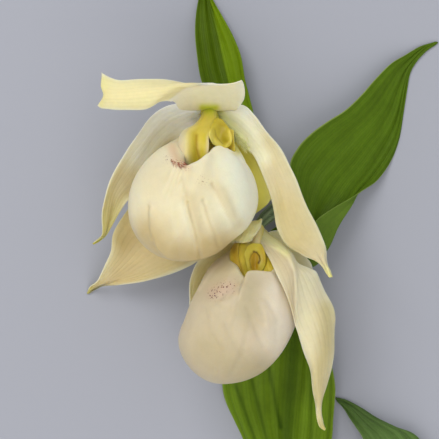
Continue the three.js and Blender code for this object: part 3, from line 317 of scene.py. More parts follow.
RIGHT_LEAF: Stations = (
    ((27.9, -15.3, 13.4), (28.8, -17, 13.8), (29.8, -18.3, 13.8), (31.1, -19.1, 13.4), (32.1, -19.5, 12.8)),
    ((21.2, -5.3, 15.6), (27.9, -8.6, 15.4), (35.1, -13.7, 15), (39.5, -19.5, 16.5), (34.2, -11.5, 19.5)),
    ((33.4, 2.3, 16), (36.8, -1, 15.5), (41.4, -6.9, 15), (45.6, -11.8, 16.5), (39.7, -1.3, 19.5)),
    ((30.9, 12.4, 15), (38, 6.9, 14), (44.7, 1, 13.5), (50, -2.7, 15.5), (46.8, 4.2, 18)),
    ((29.6, 22.9, 14.5), (41, 15.8, 12.5), (50.6, 8.6, 11.5), (55.2, 5.7, 12.5), (54.4, 8.6, 15)),
    ((33, 30.2, 14), (45.6, 22.1, 11), (54.8, 14.9, 8.5), (58.2, 12.2, 8), (59.9, 11.8, 9)),
    ((38.4, 36.1, 13), (51, 28.4, 9), (60.3, 21.6, 5.5), (63.6, 18.3, 4.5), (66.2, 16.4, 4)),
    ((45.2, 41.2, 12), (56.9, 34.7, 7.5), (65.7, 29.6, 3), (69.5, 26.7, 1.5), (72.2, 25, 0.5)),
    ((52.7, 46, 11), (62.8, 40.5, 6), (70.4, 36.8, 1.5), (73.5, 34.9, 0.6), (75.6, 34, 0.4)),
    ((59.4, 52.1, 9.5), (68, 47.3, 4.5), (74.1, 45.2, 0.3), (76, 44.5, 0.3), (77.3, 44.3, 0.3)),
    ((65.7, 59.2, 7.5), (72.2, 55.2, 3), (76.2, 54, 0.3), (77.7, 53.6, 0.3), (78.7, 53.6, 0.3)),
    ((72, 65.5, 5), (76.2, 62.6, 1.8), (78.5, 61.7, 0.3), (79.5, 61.5, 0.3), (80.1, 61.5, 0.3)),
    ((78.3, 69.3, 2.8), (80.6, 67.6, 1), (81.9, 67, 0.3), (82.5, 66.7, 0.3), (83, 66.6, 0.3)),
    ((84.2, 72.7, 1.2), (85.2, 71.8, 0.6), (85.9, 71.3, 0.4), (86.4, 71, 0.4), (86.9, 70.7, 0.4)),
    ((89.3, 74.3, 0.5), (89.7, 74, 0.4), (90.1, 73.8, 0.4), (90.4, 73.6, 0.4), (90.7, 73.4, 0.4)),
    ((91.3, 74.7, 0.4), (91.5, 74.6, 0.4), (91.7, 74.5, 0.4), (91.8, 74.4, 0.4), (91.9, 74.3, 0.4)),
)

PLEATED_LEAF: Stations = (
    ((27.1, -131.3, 7.2), (28.4, -131.7, 7.7), (29.6, -132.1, 7.9), (30.9, -131.7, 7.7), (32.1, -131.3, 7.2)),
    ((22.1, -119.9, 6), (25.8, -120.8, 8.6), (29.2, -121.2, 8.2), (33, -120.8, 8.8), (37.2, -119.9, 7)),
    ((14.9, -105.6, 2.5), (21.6, -106.5, 9.5), (28.6, -106.9, 9), (36.3, -106.5, 10), (44.3, -105.2, 6)),
    ((9.7, -92.2, 0.4), (18.3, -92.6, 8.5), (27.7, -92.6, 9.4), (37.2, -92.6, 11), (47.3, -92.2, 6)),
    ((6.5, -85.8, 0.4), (16.2, -85.5, 7), (27.9, -85, 9.8), (38, -85, 11.5), (47.9, -84.6, 6)),
    ((4, -80, 0.4), (14.5, -78.8, 6.5), (28.4, -76.7, 10), (38.4, -77.1, 12), (48.3, -77.1, 6)),
    ((2.3, -73.9, 0.4), (13.7, -72, 7), (29, -69.1, 10.3), (38.9, -69.1, 12), (48.5, -70.4, 7)),
    ((1.5, -67.4, 2), (13.2, -64.9, 8.5), (29.6, -61.1, 10.6), (38.9, -61.1, 12.5), (47.7, -63.6, 9)),
    ((2.7, -59, 5), (13.7, -55.7, 10.5), (30.2, -51.9, 11), (38.4, -52.3, 13), (45.6, -55.7, 11)),
    ((6.1, -49.8, 8), (15.8, -46.4, 11.5), (30.9, -43.1, 11.5), (37.2, -43.5, 13), (42.2, -46.4, 12.5)),
    ((11.6, -41.6, 10), (19.5, -38.8, 12.2), (30.9, -35.5, 12.2), (35.1, -36.4, 13), (38, -38.6, 13)),
    ((20.5, -33.4, 12.3), (24.7, -31.2, 12.6), (30.2, -29.2, 12.6), (32.6, -30, 13), (34.2, -31.5, 13)),
    ((27.6, -28.2, 12.8), (28.7, -27.6, 12.8), (29.8, -27, 12.8), (30.6, -27.4, 12.8), (31.3, -28, 12.8)),
)

LOWEST_LEAF: Stations = (
    ((33.7, -137.5, 4), (33.7, -135.5, 4.3), (33.7, -133.4, 4)),
    ((44.3, -143, 6), (42.6, -137.1, 7), (40.5, -131.3, 6)),
    ((61.1, -143.4, 9), (56.1, -135, 11), (51, -126.2, 9)),
    ((77.1, -135, 11), (68.7, -126.6, 14), (59.4, -118.2, 12)),
    ((88.4, -121.2, 11), (76.2, -114.9, 15), (63.2, -108.6, 13)),
    ((90.9, -105.6, 9), (77.1, -103.1, 13.5), (63.2, -100.6, 12)),
    ((83.4, -91.5, 6), (71.2, -92, 10.5), (60.3, -92.2, 9.5)),
    ((74.4, -87, 4), (65.3, -86.9, 8), (57.1, -87.2, 7)),
    ((66.7, -83.2, 2.5), (60.7, -83.2, 5.5), (54.6, -83.4, 5)),
    ((59.7, -78.8, 1.2), (55.9, -79, 3), (52.2, -79.2, 3)),
    ((53.1, -75.9, 0.5), (51.4, -76.4, 0.9), (50, -77.1, 1)),
    ((49, -74.6, 0.4), (48.7, -75, 0.4), (48.8, -75.5, 0.4)),
)

UPPER_POUCH_RADII = (26.6, 27, 26.8, 25.6, 24.5, 25.8, 25.8, 26.4, 26.8, 27.1, 26.4, 25.1, 23.5, 22.9, 22.3, 24.6)
UPPER_POUCH_MOUTH = (
    (-5, 40.1, 34.6),
    (-10.8, 37, 40),
    (-15.8, 33.6, 47.5),
    (-20, 30.6, 54.5),
    (-18.7, 25, 67),
    (-15.3, 21.5, 70.5),
    (-9.9, 23.6, 69),
    (-4.8, 26.9, 65.3),
    (-0.8, 30.3, 58),
    (3.4, 29.3, 54.5),
    (6.6, 27.8, 49),
    (5.6, 32, 42.5),
    (1.4, 37, 37.5),
)
UPPER_POUCH_ROLL = (0.6, 1.5, 3, 4.8, 5.2, 4, 2.4, 2.2, 2, 1.4, 0.8, 0.8, 0.6)

LOWER_POUCH_RADII = (25, 26.4, 26.6, 25.1, 24.2, 22.2, 20.1, 20, 21.2, 25.7, 27.9, 28.4, 26.6, 24.8, 23.5, 23.5)
LOWER_POUCH_MOUTH = (
    (15.3, -7, 31.8),
    (9.9, -9.9, 37),
    (5.7, -12.8, 43),
    (3.8, -16.6, 49),
    (6.9, -21.2, 59),
    (10.7, -25.4, 63.3),
    (12.6, -22.3, 62.5),
    (17.9, -22.2, 60),
    (23.3, -22.5, 56),
    (25.8, -18.7, 48),
    (22.5, -14, 41),
    (17.2, -10.6, 35.5),
)
LOWER_POUCH_ROLL = (0.6, 1.2, 2.4, 3, 2.4, 1.8, 1.7, 1.8, 2, 2, 1, 0.8)


# --- points and curves


def draw_in(points: Array) -> Array:
    """Moves points along the line of sight into the part's frame, still in millimetres.

    Args:
        points: seen x, seen y and height in the last axis.

    Returns:
        The same points in the part's frame.
    """
    scale = 1 - (points[..., 2] - BLOOM_PLANE) / EYE_DISTANCE
    placed = points.astype(float).copy()
    placed[..., 0] = points[..., 0] * scale - CENTRE[0]
    placed[..., 1] = points[..., 1] * scale - CENTRE[1]
    return placed


def seen(points: Array) -> Array:
    """Says where points of the part's frame, in millimetres, show from above the blooms."""
    scale = 1 - (points[..., 2] - BLOOM_PLANE) / EYE_DISTANCE
    return np.stack([(points[..., 0] + CENTRE[0]) / scale, (points[..., 1] + CENTRE[1]) / scale], -1)


def on_curve(points: Array, t: Array, closed: bool = False) -> Array:
    """Follows a smooth curve through points.

    Args:
        points: the curve's points along the first axis.
        t: places on the curve, counted in points.
        closed: whether the curve runs from its last point back to its first.

    Returns:
        One value, shaped as a point, for each t.
    """
    count = len(points)
    if closed:
        start = np.floor(t).astype(int)
        p0, p1, p2, p3 = (points[(start + k) % count] for k in (-1, 0, 1, 2))
    else:
        longer = np.concatenate([2 * points[:1] - points[1:2], points, 2 * points[-1:] - points[-2:-1]])
        start = np.clip(np.floor(t).astype(int), 0, count - 2)
        p0, p1, p2, p3 = (longer[start + k] for k in (0, 1, 2, 3))
    f = (t - start).reshape((-1,) + (1,) * (points.ndim - 1))
    slope1 = (p2 - p0) / 2
    slope2 = (p3 - p1) / 2
    f2 = f * f
    f3 = f2 * f
    return p1 * (2 * f3 - 3 * f2 + 1) + slope1 * (f3 - 2 * f2 + f) + p2 * (3 * f2 - 2 * f3) + slope2 * (f3 - f2)


def crowd(count: int, share: float) -> Array:
    """Spaces count + 1 values from 0 to 1, closer together at both ends where share is above 0."""
    even = np.arange(count + 1) / count
    return (1 - share) * even + share * (0.5 - 0.5 * np.cos(math.pi * even))


def smooth(low: float, high: float, value: Array) -> Array:
    """Rises smoothly from 0 at low to 1 at high."""
    t = np.clip((value - low) / (high - low), 0, 1)
    return t * t * (3 - 2 * t)


def surface_normals(grid: Array, closed: bool) -> Array:
    """Finds the unit normals of a grid of points.

    Args:
        grid: points in rows and columns.
        closed: whether the last column joins the first.

    Returns:
        A normal for each point, along down x over.
    """
    down = np.gradient(grid, axis=0)
    if closed:
        over = np.roll(grid, -1, 1) - np.roll(grid, 1, 1)
    else:
        over = np.gradient(grid, axis=1)
    normal = np.cross(down, over)
    length = np.linalg.norm(normal, axis=-1, keepdims=True)
    return normal / np.maximum(length, 1e-12)


def waver(u: Array, v: Array, seed: int, across: float, along: float) -> Array:
    """Gives a smooth uneven field of about -1 to 1, the same on each run.

    Args:
        u: places across.
        v: places along.
        seed: picks the field.
        across: most waves from u = 0 to 1.
        along: most waves from v = 0 to 1.

    Returns:
        The field's values.
    """
    pick = np.random.default_rng(seed)
    total = np.zeros(np.broadcast(u, v).shape)
    for _ in range(7):
        turns_u = pick.uniform(0.25, 1) * across
        turns_v = pick.uniform(0.25, 1) * along * pick.choice((-1, 1))
        total = total + np.sin(math.tau * (turns_u * u + turns_v * v + pick.uniform()))
    return total / 3.5


def beside(points: tuple[Spot, ...], places: Array) -> tuple[Array, Array, Array]:
    """Measures seen places against a line.

    Args:
        points: the line's seen points.
        places: seen places in the last axis.

    Returns:
        The distance from the line in millimetres, its side (1 on the left, -1 on the right) and the share passed.
    """
    line = np.array(points, float)
    nearest = np.full(places.shape[:-1], np.inf)
    side = np.zeros(places.shape[:-1])
    passed = np.zeros(places.shape[:-1])
    if len(line) == 1:
        return np.linalg.norm(places - line[0], axis=-1), side + 1, passed
    lengths = np.linalg.norm(np.diff(line, axis=0), axis=1)
    before = np.concatenate([[0], np.cumsum(lengths)]) / lengths.sum()
    for k, (start, end) in enumerate(zip(line[:-1], line[1:])):
        leg = end - start
        share = np.clip(((places - start) @ leg) / (leg @ leg), 0, 1)
        away = places - start - share[..., None] * leg
        gap = np.linalg.norm(away, axis=-1)
        turn = leg[0] * away[..., 1] - leg[1] * away[..., 0]
        closer = gap < nearest
        side = np.where(closer, np.sign(turn), side)
        passed = np.where(closer, before[k] + share * (before[k + 1] - before[k]), passed)
        nearest = np.minimum(nearest, gap)
    return nearest, side, passed


@dataclass(frozen=True)
class Stroke:
    """A soft line or spot on a piece, placed where it shows from above.

    The line runs through seen points, and width is how far from it its mark has faded to a third. Where edge is
    given, the mark lies only on the left of the line and starts within that many millimetres of it.
    """

    points: tuple[Spot, ...]
    width: float
    strength: float = 1
    edge: float = 0

    def cover(self, places: Array) -> Array:
        """Gives how strongly the line marks seen places."""
        gap, side, _ = beside(self.points, places)
        kept = smooth(-self.edge, self.edge, gap * side) if self.edge else 1
        return self.strength * np.exp(-((gap / self.width) ** 2)) * kept


@dataclass(frozen=True)
class Fold:
    """An edge where a surface stands up on the left of a line and falls back over a width, in millimetres."""

    points: tuple[Spot, ...]
    height: float
    width: float
    step: float = 0.6

    def rise(self, places: Array) -> Array:
        """Gives how far the fold lifts seen places."""
        gap, side, passed = beside(self.points, places)
        fall = np.where(side > 0, np.exp(-gap / self.width), np.exp(-((gap / self.step) ** 2)))
        return self.height * fall * smooth(0, 0.2, passed) * smooth(1, 0.8, passed)


@dataclass(frozen=True)
class Pull:
    """A place where a margin is drawn out into a point or a curl, by a shift in millimetres."""

    spot: Spot
    width: float
    shift: Point
    sharp: bool = True

    def drawn(self, places: Array) -> Array:
        """Gives the shift of points that show at seen places."""
        gap = np.linalg.norm(places - np.array(self.spot), axis=-1) / self.width
        share = np.exp(-gap) if self.sharp else np.exp(-gap * gap)
        return share[..., None] * np.array(self.shift)


Marks = dict[str, tuple[Stroke, ...]]


def marked(strokes: tuple[Stroke, ...], places: Array) -> Array:
    """Adds up what several strokes do at seen places."""
    total = np.zeros(places.shape[:-1])
    for stroke in strokes:
        total = total + stroke.cover(places)
    return total


# --- surface forms


@dataclass(frozen=True)
class BladeForm:
    """How a blade's surface stands out: long ribs, pleats, a midrib and a waved margin, in millimetres."""

    ribs: float = 0
    rib_count: float = 9
    pleats: float = 0
    pleat_count: float = 4
    midrib: float = 0
    ruffle: float = 0
    ruffle_count: float = 4
    uneven: float = 0
    seed: int = 1

    def height(self, u: Array, v: Array) -> Array:
        """Gives the height at u across and v along, fading out at the base and the tip."""
        drift = u + 0.02 * waver(u, v, self.seed, 2, 3)
        ends = smooth(0, 0.12, v) * smooth(1, 0.88, v)
        side = np.abs(2 * u - 1)
        inner = smooth(1, 0.85, side)
        ribbed = self.ribs * np.abs(np.cos(math.pi * self.rib_count * (drift - 0.5))) ** 5 * inner
        pleated = self.pleats * np.cos(math.tau * self.pleat_count * (drift - 0.5)) * inner
        middle = -self.midrib * np.exp(-(((drift - 0.5) / 0.035) ** 2))
        waves = self.ruffle * waver(u * 0.3, v, self.seed + 7, 1, self.ruffle_count) * side**3
        rough = self.uneven * waver(u, v, self.seed + 13, 2.5, 4)
        return (ribbed + pleated + middle + waves + rough) * ends


@dataclass(frozen=True)
class PouchForm:
    """The pouch's shallow dents, pleats towards its far end and fine folds at its rim, in millimetres."""

    pleats: float = 0.4
    folds: float = 0.12
    seed: int = 5

    def height(self, u: Array, v: Array) -> Array:
        """Gives the height at u round the pouch and v from its far end to the rim."""
        turn = math.tau * u
        x = np.cos(turn) * v
        y = np.sin(turn) * v
        broad = 0.3 * waver(x, y, self.seed, 1.6, 1.6)
        drift = turn * 4.5 + 1.3 * waver(x, y, self.seed + 3, 0.8, 0.8) * v
        valley = -np.abs(np.cos(drift)) ** 7 * (0.6 + 0.4 * waver(x, y, self.seed + 5, 1.5, 1.5))
        pleats = self.pleats * valley * smooth(0.12, 0.4, v) * smooth(0.92, 0.6, v)
        ring = np.cos(turn * 22 + 2 * np.sin(3 * turn) + 1.5 * np.sin(5 * turn + 1))
        folds = self.folds * ring * smooth(0.55, 0.92, v) * (0.5 + 0.5 * np.sin(3 * turn + 1))
        return ((broad + pleats) * smooth(0, 0.25, v) + folds) * smooth(1.1, 0.97, v)


# --- meshes


def in_scene(name: str, data: bpy.types.ID) -> Object:
    """Adds an object with its data to the scene."""
    thing = bpy.data.objects.new(name, data)
    bpy.context.scene.collection.objects.link(thing)
    return thing


@dataclass
class MeshParts:
    """Vertices, faces and per-vertex values that grow into one closed mesh."""

    vertices: list[Array] = field(default_factory=list)
    values: dict[str, list[Array]] = field(default_factory=dict)
    faces: list[Array] = field(default_factory=list)
    face_uvs: list[Array] = field(default_factory=list)
    count: int = 0

    def add_points(self, points: Array, values: Values) -> Array:
        """Adds points.

        Args:
            points: positions in millimetres, any shape with three in the last axis.
            values: named values of the points, shaped alike without the last axis.

        Returns:
            The points' numbers, shaped like the points without the last axis.
        """
        shape = points.shape[:-1]
        amount = int(np.prod(shape))
        numbers = np.arange(self.count, self.count + amount).reshape(shape)
        self.vertices.append(points.reshape(-1, 3))
        for name in {**self.values, **values}:
            stored = self.values.setdefault(name, [np.zeros(self.count)])
            value = values.get(name, np.zeros(shape))
            stored.append(np.broadcast_to(value, shape).reshape(-1).astype(float))
        self.count += amount
        return numbers

    def add_quads(self, grid: Array, uv: Array, flipped: bool = False) -> None:
        """Adds the faces of a grid of point numbers.

        Args:
            grid: point numbers in rows and columns.
            uv: the surface place of each grid point.
            flipped: whether the faces look the other way.
        """
        corners = [np.s_[:-1, :-1], np.s_[1:, :-1], np.s_[1:, 1:], np.s_[:-1, 1:]]
        if flipped:
            corners.reverse()
        self.faces.append(np.stack([grid[c].reshape(-1) for c in corners], 1))
        self.face_uvs.append(np.stack([uv[c].reshape(-1, 2) for c in corners], 1))

    def add_fan(self, ring: Array, centre: int, uv: Array, flipped: bool) -> None:
        """Closes a ring of point numbers with triangles to a centre point."""
        order = [ring[:-1], ring[1:], np.full(len(ring) - 1, centre)]
        spots = [uv[:-1], uv[1:], np.broadcast_to(uv[0], (len(ring) - 1, 2))]
        if flipped:
            order.reverse()
            spots.reverse()
        self.faces.append(np.stack(order, 1))
        self.face_uvs.append(np.stack(spots, 1))

    def build(self, name: str) -> Object:
        """Makes the mesh object, in metres, smooth and with its faces outwards.

        Args:
            name: the piece's name.

        Returns:
            The new object.
        """
        vertices = np.concatenate(self.vertices) * MM
        vertices[:, 2] = np.maximum(vertices[:, 2], 0)
        mesh = bpy.data.meshes.new(name)
        sizes = np.concatenate([np.full(len(f), f.shape[1]) for f in self.faces])
        loops = np.concatenate([f.reshape(-1) for f in self.faces])
        spots = np.concatenate([s.reshape(-1, 2) for s in self.face_uvs])
        mesh.vertices.add(len(vertices))
        mesh.vertices.foreach_set("co", vertices.reshape(-1))
        mesh.loops.add(len(loops))
        mesh.loops.foreach_set("vertex_index", loops.astype(np.int32))
        mesh.polygons.add(len(sizes))
        mesh.polygons.foreach_set("loop_start", np.concatenate([[0], np.cumsum(sizes)[:-1]]).astype(np.int32))
        mesh.polygons.foreach_set("use_smooth", np.ones(len(sizes), bool))
        layer = mesh.uv_layers.new(name="Surface")
        layer.data.foreach_set("uv", spots.reshape(-1))
        for value_name, pieces in self.values.items():
            attribute = mesh.attributes.new(value_name, "FLOAT", "POINT")
            attribute.data.foreach_set("value", np.concatenate(pieces).astype(np.float32))
        mesh.update(calc_edges=True)
        if mesh.validate():
            LOG.warning("%s had faces that were put right", name)
        if signed_volume(mesh) < 0:
            mesh.flip_normals()
        return in_scene(name, mesh)


def signed_volume(mesh: Mesh) -> float:
    """Gives the volume inside a closed mesh, below zero where its faces look inwards."""
    mesh.calc_loop_triangles()
    corners = np.zeros(len(mesh.loop_triangles) * 3, np.int32)
    mesh.loop_triangles.foreach_get("vertices", corners)
    places = np.zeros(len(mesh.vertices) * 3)
    mesh.vertices.foreach_get("co", places)
    a, b, c = places.reshape(-1, 3)[corners.reshape(-1, 3)].transpose(1, 0, 2)
    return float(np.einsum("ij,ij->i", a, np.cross(b, c)).sum() / 6)


@dataclass
class Blade:
    """A petal, sepal, leaf, lobe or shield: a thin closed blade through stations from its base to its tip."""

    stations: Stations
    thickness: float
    along: int = 96
    across: int = 40
    form: BladeForm = BladeForm()
    marks: Marks = field(default_factory=dict)
    folds: tuple[Fold, ...] = ()
    creases: tuple[Stroke, ...] = ()
    pulls: tuple[Pull, ...] = ()

    def add_to(self, parts: MeshParts) -> None:
        """Adds the blade's points and faces to a mesh in the making."""
        rows = draw_in(np.array(self.stations, float))
        v = crowd(self.along, 0.5)
        u = crowd(self.across, 0.8)
        margins = on_curve(rows, v * (len(rows) - 1))
        middle = on_curve(margins.swapaxes(0, 1), u * (rows.shape[1] - 1)).swapaxes(0, 1)
        normal = surface_normals(middle, False)
        upwards = 1 if normal[..., 2].mean() > 0 else -1
        normal = normal * upwards
        across, along = np.meshgrid(u, v)
        places = seen(middle)
        height = self.form.height(across, along) - marked(self.creases, places)
        for fold in self.folds:
            height = height + fold.rise(places)
        middle = middle + normal * height[..., None]
        for pull in self.pulls:
            middle = middle + pull.drawn(places)
        normal = surface_normals(middle, False) * upwards
        raised = normal * self.half_thickness(middle, across)[..., None]
        uv = np.stack([across, along], -1)
        places = seen(middle)
        values = {name: marked(strokes, places) for name, strokes in self.marks.items()}
        front = parts.add_points(middle + raised, {**values, "front": np.ones(across.shape)})
        inner = np.s_[1:-1, 1:-1]
        back = front.copy()
        inner_values = {name: value[inner] for name, value in values.items()}
        back[inner] = parts.add_points((middle - raised)[inner], inner_values)
        parts.add_quads(front, uv, flipped=upwards < 0)
        parts.add_quads(back, uv, flipped=upwards > 0)

    def half_thickness(self, middle: Array, across: Array) -> Array:
        """Gives half the thickness at each point: fullest in the middle and rounded off at the margins."""
        over = np.linalg.norm(np.diff(middle, axis=1), axis=-1)
        down = np.linalg.norm(np.diff(middle, axis=0), axis=-1)
        from_left = np.concatenate([np.zeros((len(over), 1)), np.cumsum(over, 1)], 1)
        from_base = np.concatenate([np.zeros((1, down.shape[1])), np.cumsum(down, 0)], 0)
        gap = np.minimum(from_left, from_left[:, -1:] - from_left)
        gap = np.minimum(gap, np.minimum(from_base, from_base[-1:] - from_base))
        rounded = np.sqrt(1 - (1 - np.clip(gap / ROUNDED, 0, 1)) ** 2)
        return 0.5 * self.thickness * (0.55 + 0.45 * np.sin(math.pi * across)) * rounded


@dataclass
class Rod:
    """A stalk or ovary: a round closed rod through stations of x, y, z and radius, with ribs along it."""

    stations: RodStations
    steps: int = 90
    sides: int = 48
    ribs: int = 0
    rib_height: float = 0
    twist: float = 0
    seed: int = 1
    marks: Marks = field(default_factory=dict)

    def add_to(self, parts: MeshParts) -> None:
        """Adds the rod's points and faces to a mesh in the making."""
        centres = draw_in(np.array([s[:3] for s in self.stations], float))
        radii = np.array([s[3] for s in self.stations], float)
        span = len(self.stations) - 1
        v = crowd(self.steps, 0.4)
        line = on_curve(centres, v * span)
        radius = on_curve(radii, v * span)
        tangent = np.gradient(line, v, axis=0)
        tangent /= np.linalg.norm(tangent, axis=1, keepdims=True)
        angle = math.tau * np.arange(self.sides + 1) / self.sides
        across = np.array([1, 0, 0])
        rows = []
        for centre, ahead, size, share in zip(line, tangent, radius, v):
            across = across - ahead * (across @ ahead)
            across = across / np.linalg.norm(across)
            up = np.cross(ahead, across)
            ribbed = self.rib_height * np.cos(self.ribs * angle + self.twist * share)
            bumps = 0.09 * waver(angle / math.tau, np.full(angle.shape, share), self.seed, 2, 14)
            bumps[-1] = bumps[0]
            length = (size + (ribbed + bumps) * min(1, size / 2))[:, None]
            rows.append(centre + length * (np.cos(angle)[:, None] * across + np.sin(angle)[:, None] * up))
        grid = np.array(rows)
        uv = np.stack(np.meshgrid(angle / math.tau, v), -1)
        places = seen(grid[:, :-1])
        values = {name: marked(strokes, places) for name, strokes in self.marks.items()}
        numbers = parts.add_points(grid[:, :-1], values)
        numbers = np.concatenate([numbers, numbers[:, :1]], 1)
        parts.add_quads(numbers, uv, flipped=True)
        for row, flip in ((0, True), (-1, False)):
            self.add_end(parts, grid[row], numbers[row], uv[row], flip)

    def add_end(self, parts: MeshParts, ring: Array, numbers: Array, uv: Array, flip: bool) -> None:
        """Closes one end with shrinking rings and a point in the middle, marked as a cut face."""
        centre = ring[:-1].mean(0)
        before = numbers
        for share in (0.92, 0.7, 0.4):
            inner = centre + (ring[:-1] - centre) * share
            new = parts.add_points(inner, {"cut": np.ones(len(inner))})
            new = np.concatenate([new, new[:1]])
            parts.add_quads(np.stack([before, new]), np.stack([uv, uv]), flipped=not flip)
            before = new
        middle = parts.add_points(centre[None], {"cut": np.ones(1)})
        parts.add_fan(before, int(middle[0]), uv, flipped=flip)


@dataclass
class Pouch:
    """The slipper-shaped lip: a thin bag whose rim rolls inwards round its mouth.

    Its outline is a closed curve of radii counted from +X towards +Y, its depth is a half thickness towards
    the eye, and its mouth is a closed curve of seen points. The rim rolls in by roll[k] at mouth point k.
    """

    centre: Point
    radii: tuple[float, ...]
    depth: float
    mouth: tuple[Point, ...]
    roll: tuple[float, ...]
    form: PouchForm
    creases: tuple[Stroke, ...] = ()
    folds: tuple[Fold, ...] = ()
    marks: Marks = field(default_factory=dict)

    def radius_at(self, angle: Array) -> Array:
        """Gives the outline's radius at an angle, for an array of any shape."""
        outline = np.array(self.radii, float)
        t = np.mod(angle / math.tau * len(outline), len(outline))
        return on_curve(outline, t.reshape(-1), True).reshape(angle.shape)

    def to_unit(self, points: Array) -> Array:
        """Turns points round the pouch into points round a unit ball."""
        away = points - self.middle
        radius = self.radius_at(np.arctan2(away[..., 1], away[..., 0]))
        return np.stack([away[..., 0] / radius, away[..., 1] / radius, away[..., 2] / self.depth], -1)

    def from_unit(self, points: Array) -> Array:
        """Turns points round a unit ball back into points round the pouch."""
        radius = self.radius_at(np.arctan2(points[..., 1], points[..., 0]))
        away = np.stack([points[..., 0] * radius, points[..., 1] * radius, points[..., 2] * self.depth], -1)
        return away + self.middle

    @property
    def middle(self) -> Array:
        """The bag's centre in the part's frame."""
        return draw_in(np.array(self.centre, float))

    def evened(self, directions: Array) -> Array:
        """Rounds off the notches of a closed ring of directions, whose last equals its first."""
        ring = directions[:-1]
        reach = len(ring) // 5
        steps = np.arange(-reach, reach + 1)
        weights = np.exp(-((steps / (reach * 0.5)) ** 2))
        total = sum(weight * np.roll(ring, step, 0) for step, weight in zip(steps, weights))
        total = total / np.linalg.norm(total, axis=-1, keepdims=True)
        return np.concatenate([total, total[:1]])

    def add_to(self, parts: MeshParts) -> None:
        """Adds the pouch's points and faces to a mesh in the making."""
        angle_share = np.arange(POUCH_SIDES + 1) / POUCH_SIDES
        knots = np.array(self.mouth, float)
        lips = on_curve(draw_in(knots), angle_share * len(knots), True)
        lips[-1] = lips[0]
        amounts = on_curve(np.array(self.roll, float), angle_share * len(knots), True)[:, None]
        mouth_middle = draw_in(knots).mean(0)
        pole = -self.to_unit(mouth_middle)
        pole /= np.linalg.norm(pole)
        lip_unit = self.to_unit(lips)
        reach = np.linalg.norm(lip_unit, axis=-1)
        t = ((np.arange(POUCH_RINGS) + 1) / POUCH_RINGS)[:, None]
        near_rim = smooth(RIM_FROM, 1, t)[..., None]
        even = self.evened(lip_unit / reach[:, None])
        direction = even * (1 - near_rim) + lip_unit / reach[:, None] * near_rim
        direction = direction / np.linalg.norm(direction, axis=-1, keepdims=True)
        angle = np.arccos(np.clip(direction @ pole, -1, 1))
        first = np.sin((1 - t) * angle) / np.sin(angle)
        second = np.sin(t * angle) / np.sin(angle)
        turned = first[..., None] * pole + second[..., None] * direction
        blend = smooth(ROUND_UNTIL, 1, t)
        bag = self.from_unit(turned * (1 + (reach - 1) * blend)[..., None])
        turn = (np.arange(ROLL_RINGS) + 1)[:, None, None] / ROLL_RINGS * (math.pi / 2)
        inward = mouth_middle - lips
        inward /= np.linalg.norm(inward, axis=-1, keepdims=True)
        down = self.middle - lips
        down /= np.linalg.norm(down, axis=-1, keepdims=True)
        rolled = lips + inward * amounts * ROLL_IN * np.sin(turn) + down * amounts * ROLL_DOWN * (1 - np.cos(turn))
        grid = np.concatenate([bag, rolled])
        v = np.concatenate([t[:, 0], 1 + (np.arange(ROLL_RINGS) + 1) / ROLL_RINGS * 0.1])
        uv = np.stack(np.meshgrid(angle_share, v), -1)
        normal = -surface_normals(grid[:, :-1], True)
        normal = np.concatenate([normal, normal[:, :1]], 1)
        if ((grid[LOW_RING] - self.middle) * normal[LOW_RING]).sum() < 0:
            normal = -normal
        places = seen(grid)
        upper = smooth(-0.1, 0.35, normal[..., 2])
        relief = self.form.height(uv[..., 0], uv[..., 1])
        for fold in self.folds:
            relief = relief + fold.rise(places) * upper
        grid = grid + normal * (relief - marked(self.creases, places) * upper)[..., None]
        half = np.full(grid.shape[:-1], POUCH_WALL / 2)
        half = half * (0.45 + 0.55 * smooth(1.1, 1, uv[..., 1]))
        half[-1] = 0
        half[-2] *= 0.6
        raised = normal * half[..., None]
        values = {name: marked(strokes, places) for name, strokes in self.marks.items()}
        # How far the creases draw the wall in, which the finish paints as shade.
        values["crease_shade"] = marked(self.creases, places) * upper
        self.add_walls(parts, (grid + raised, grid - raised), uv, values, pole)

    def add_walls(self, parts: MeshParts, walls: Walls, uv: Array, values: Values, pole: Array) -> None:
        """Adds both walls, which share the rim's edge, and closes each at the bag's far end."""
        numbers: list[Array] = []
        for inside, wall in enumerate(walls):
            own = np.s_[: len(wall) - inside, :-1]
            own_values = {name: value[own] for name, value in values.items()}
            own_values["inside"] = np.full(wall[own].shape[:-1], inside)
            new = parts.add_points(wall[own], own_values)
            if inside:
                new = np.concatenate([new, numbers[0][-1:, :-1]])
            numbers.append(np.concatenate([new, new[:, :1]], 1))
        parts.add_quads(numbers[0], uv)
        parts.add_quads(numbers[1], uv, flipped=True)
        bottom = self.from_unit(pole[None])
        outwards = bottom - self.middle
        outwards /= np.linalg.norm(outwards)
        for inside, side in enumerate((0.5, -0.5)):
            tip = parts.add_points(bottom + outwards * POUCH_WALL * side, {"inside": np.full(1, inside)})
            parts.add_fan(numbers[inside][0], int(tip[0]), uv[0], flipped=bool(inside))


# --- shader groups


def tone(code: int) -> Colour:
    """Turns a screen colour, written 0xRRGGBB, into a linear one."""
    shares = [(code >> shift & 255) / 255 for shift in (16, 8, 0)]
    linear = [s / 12.92 if s <= 0.04045 else ((s + 0.055) / 1.055) ** 2.4 for s in shares]
    return (linear[0], linear[1], linear[2], 1)


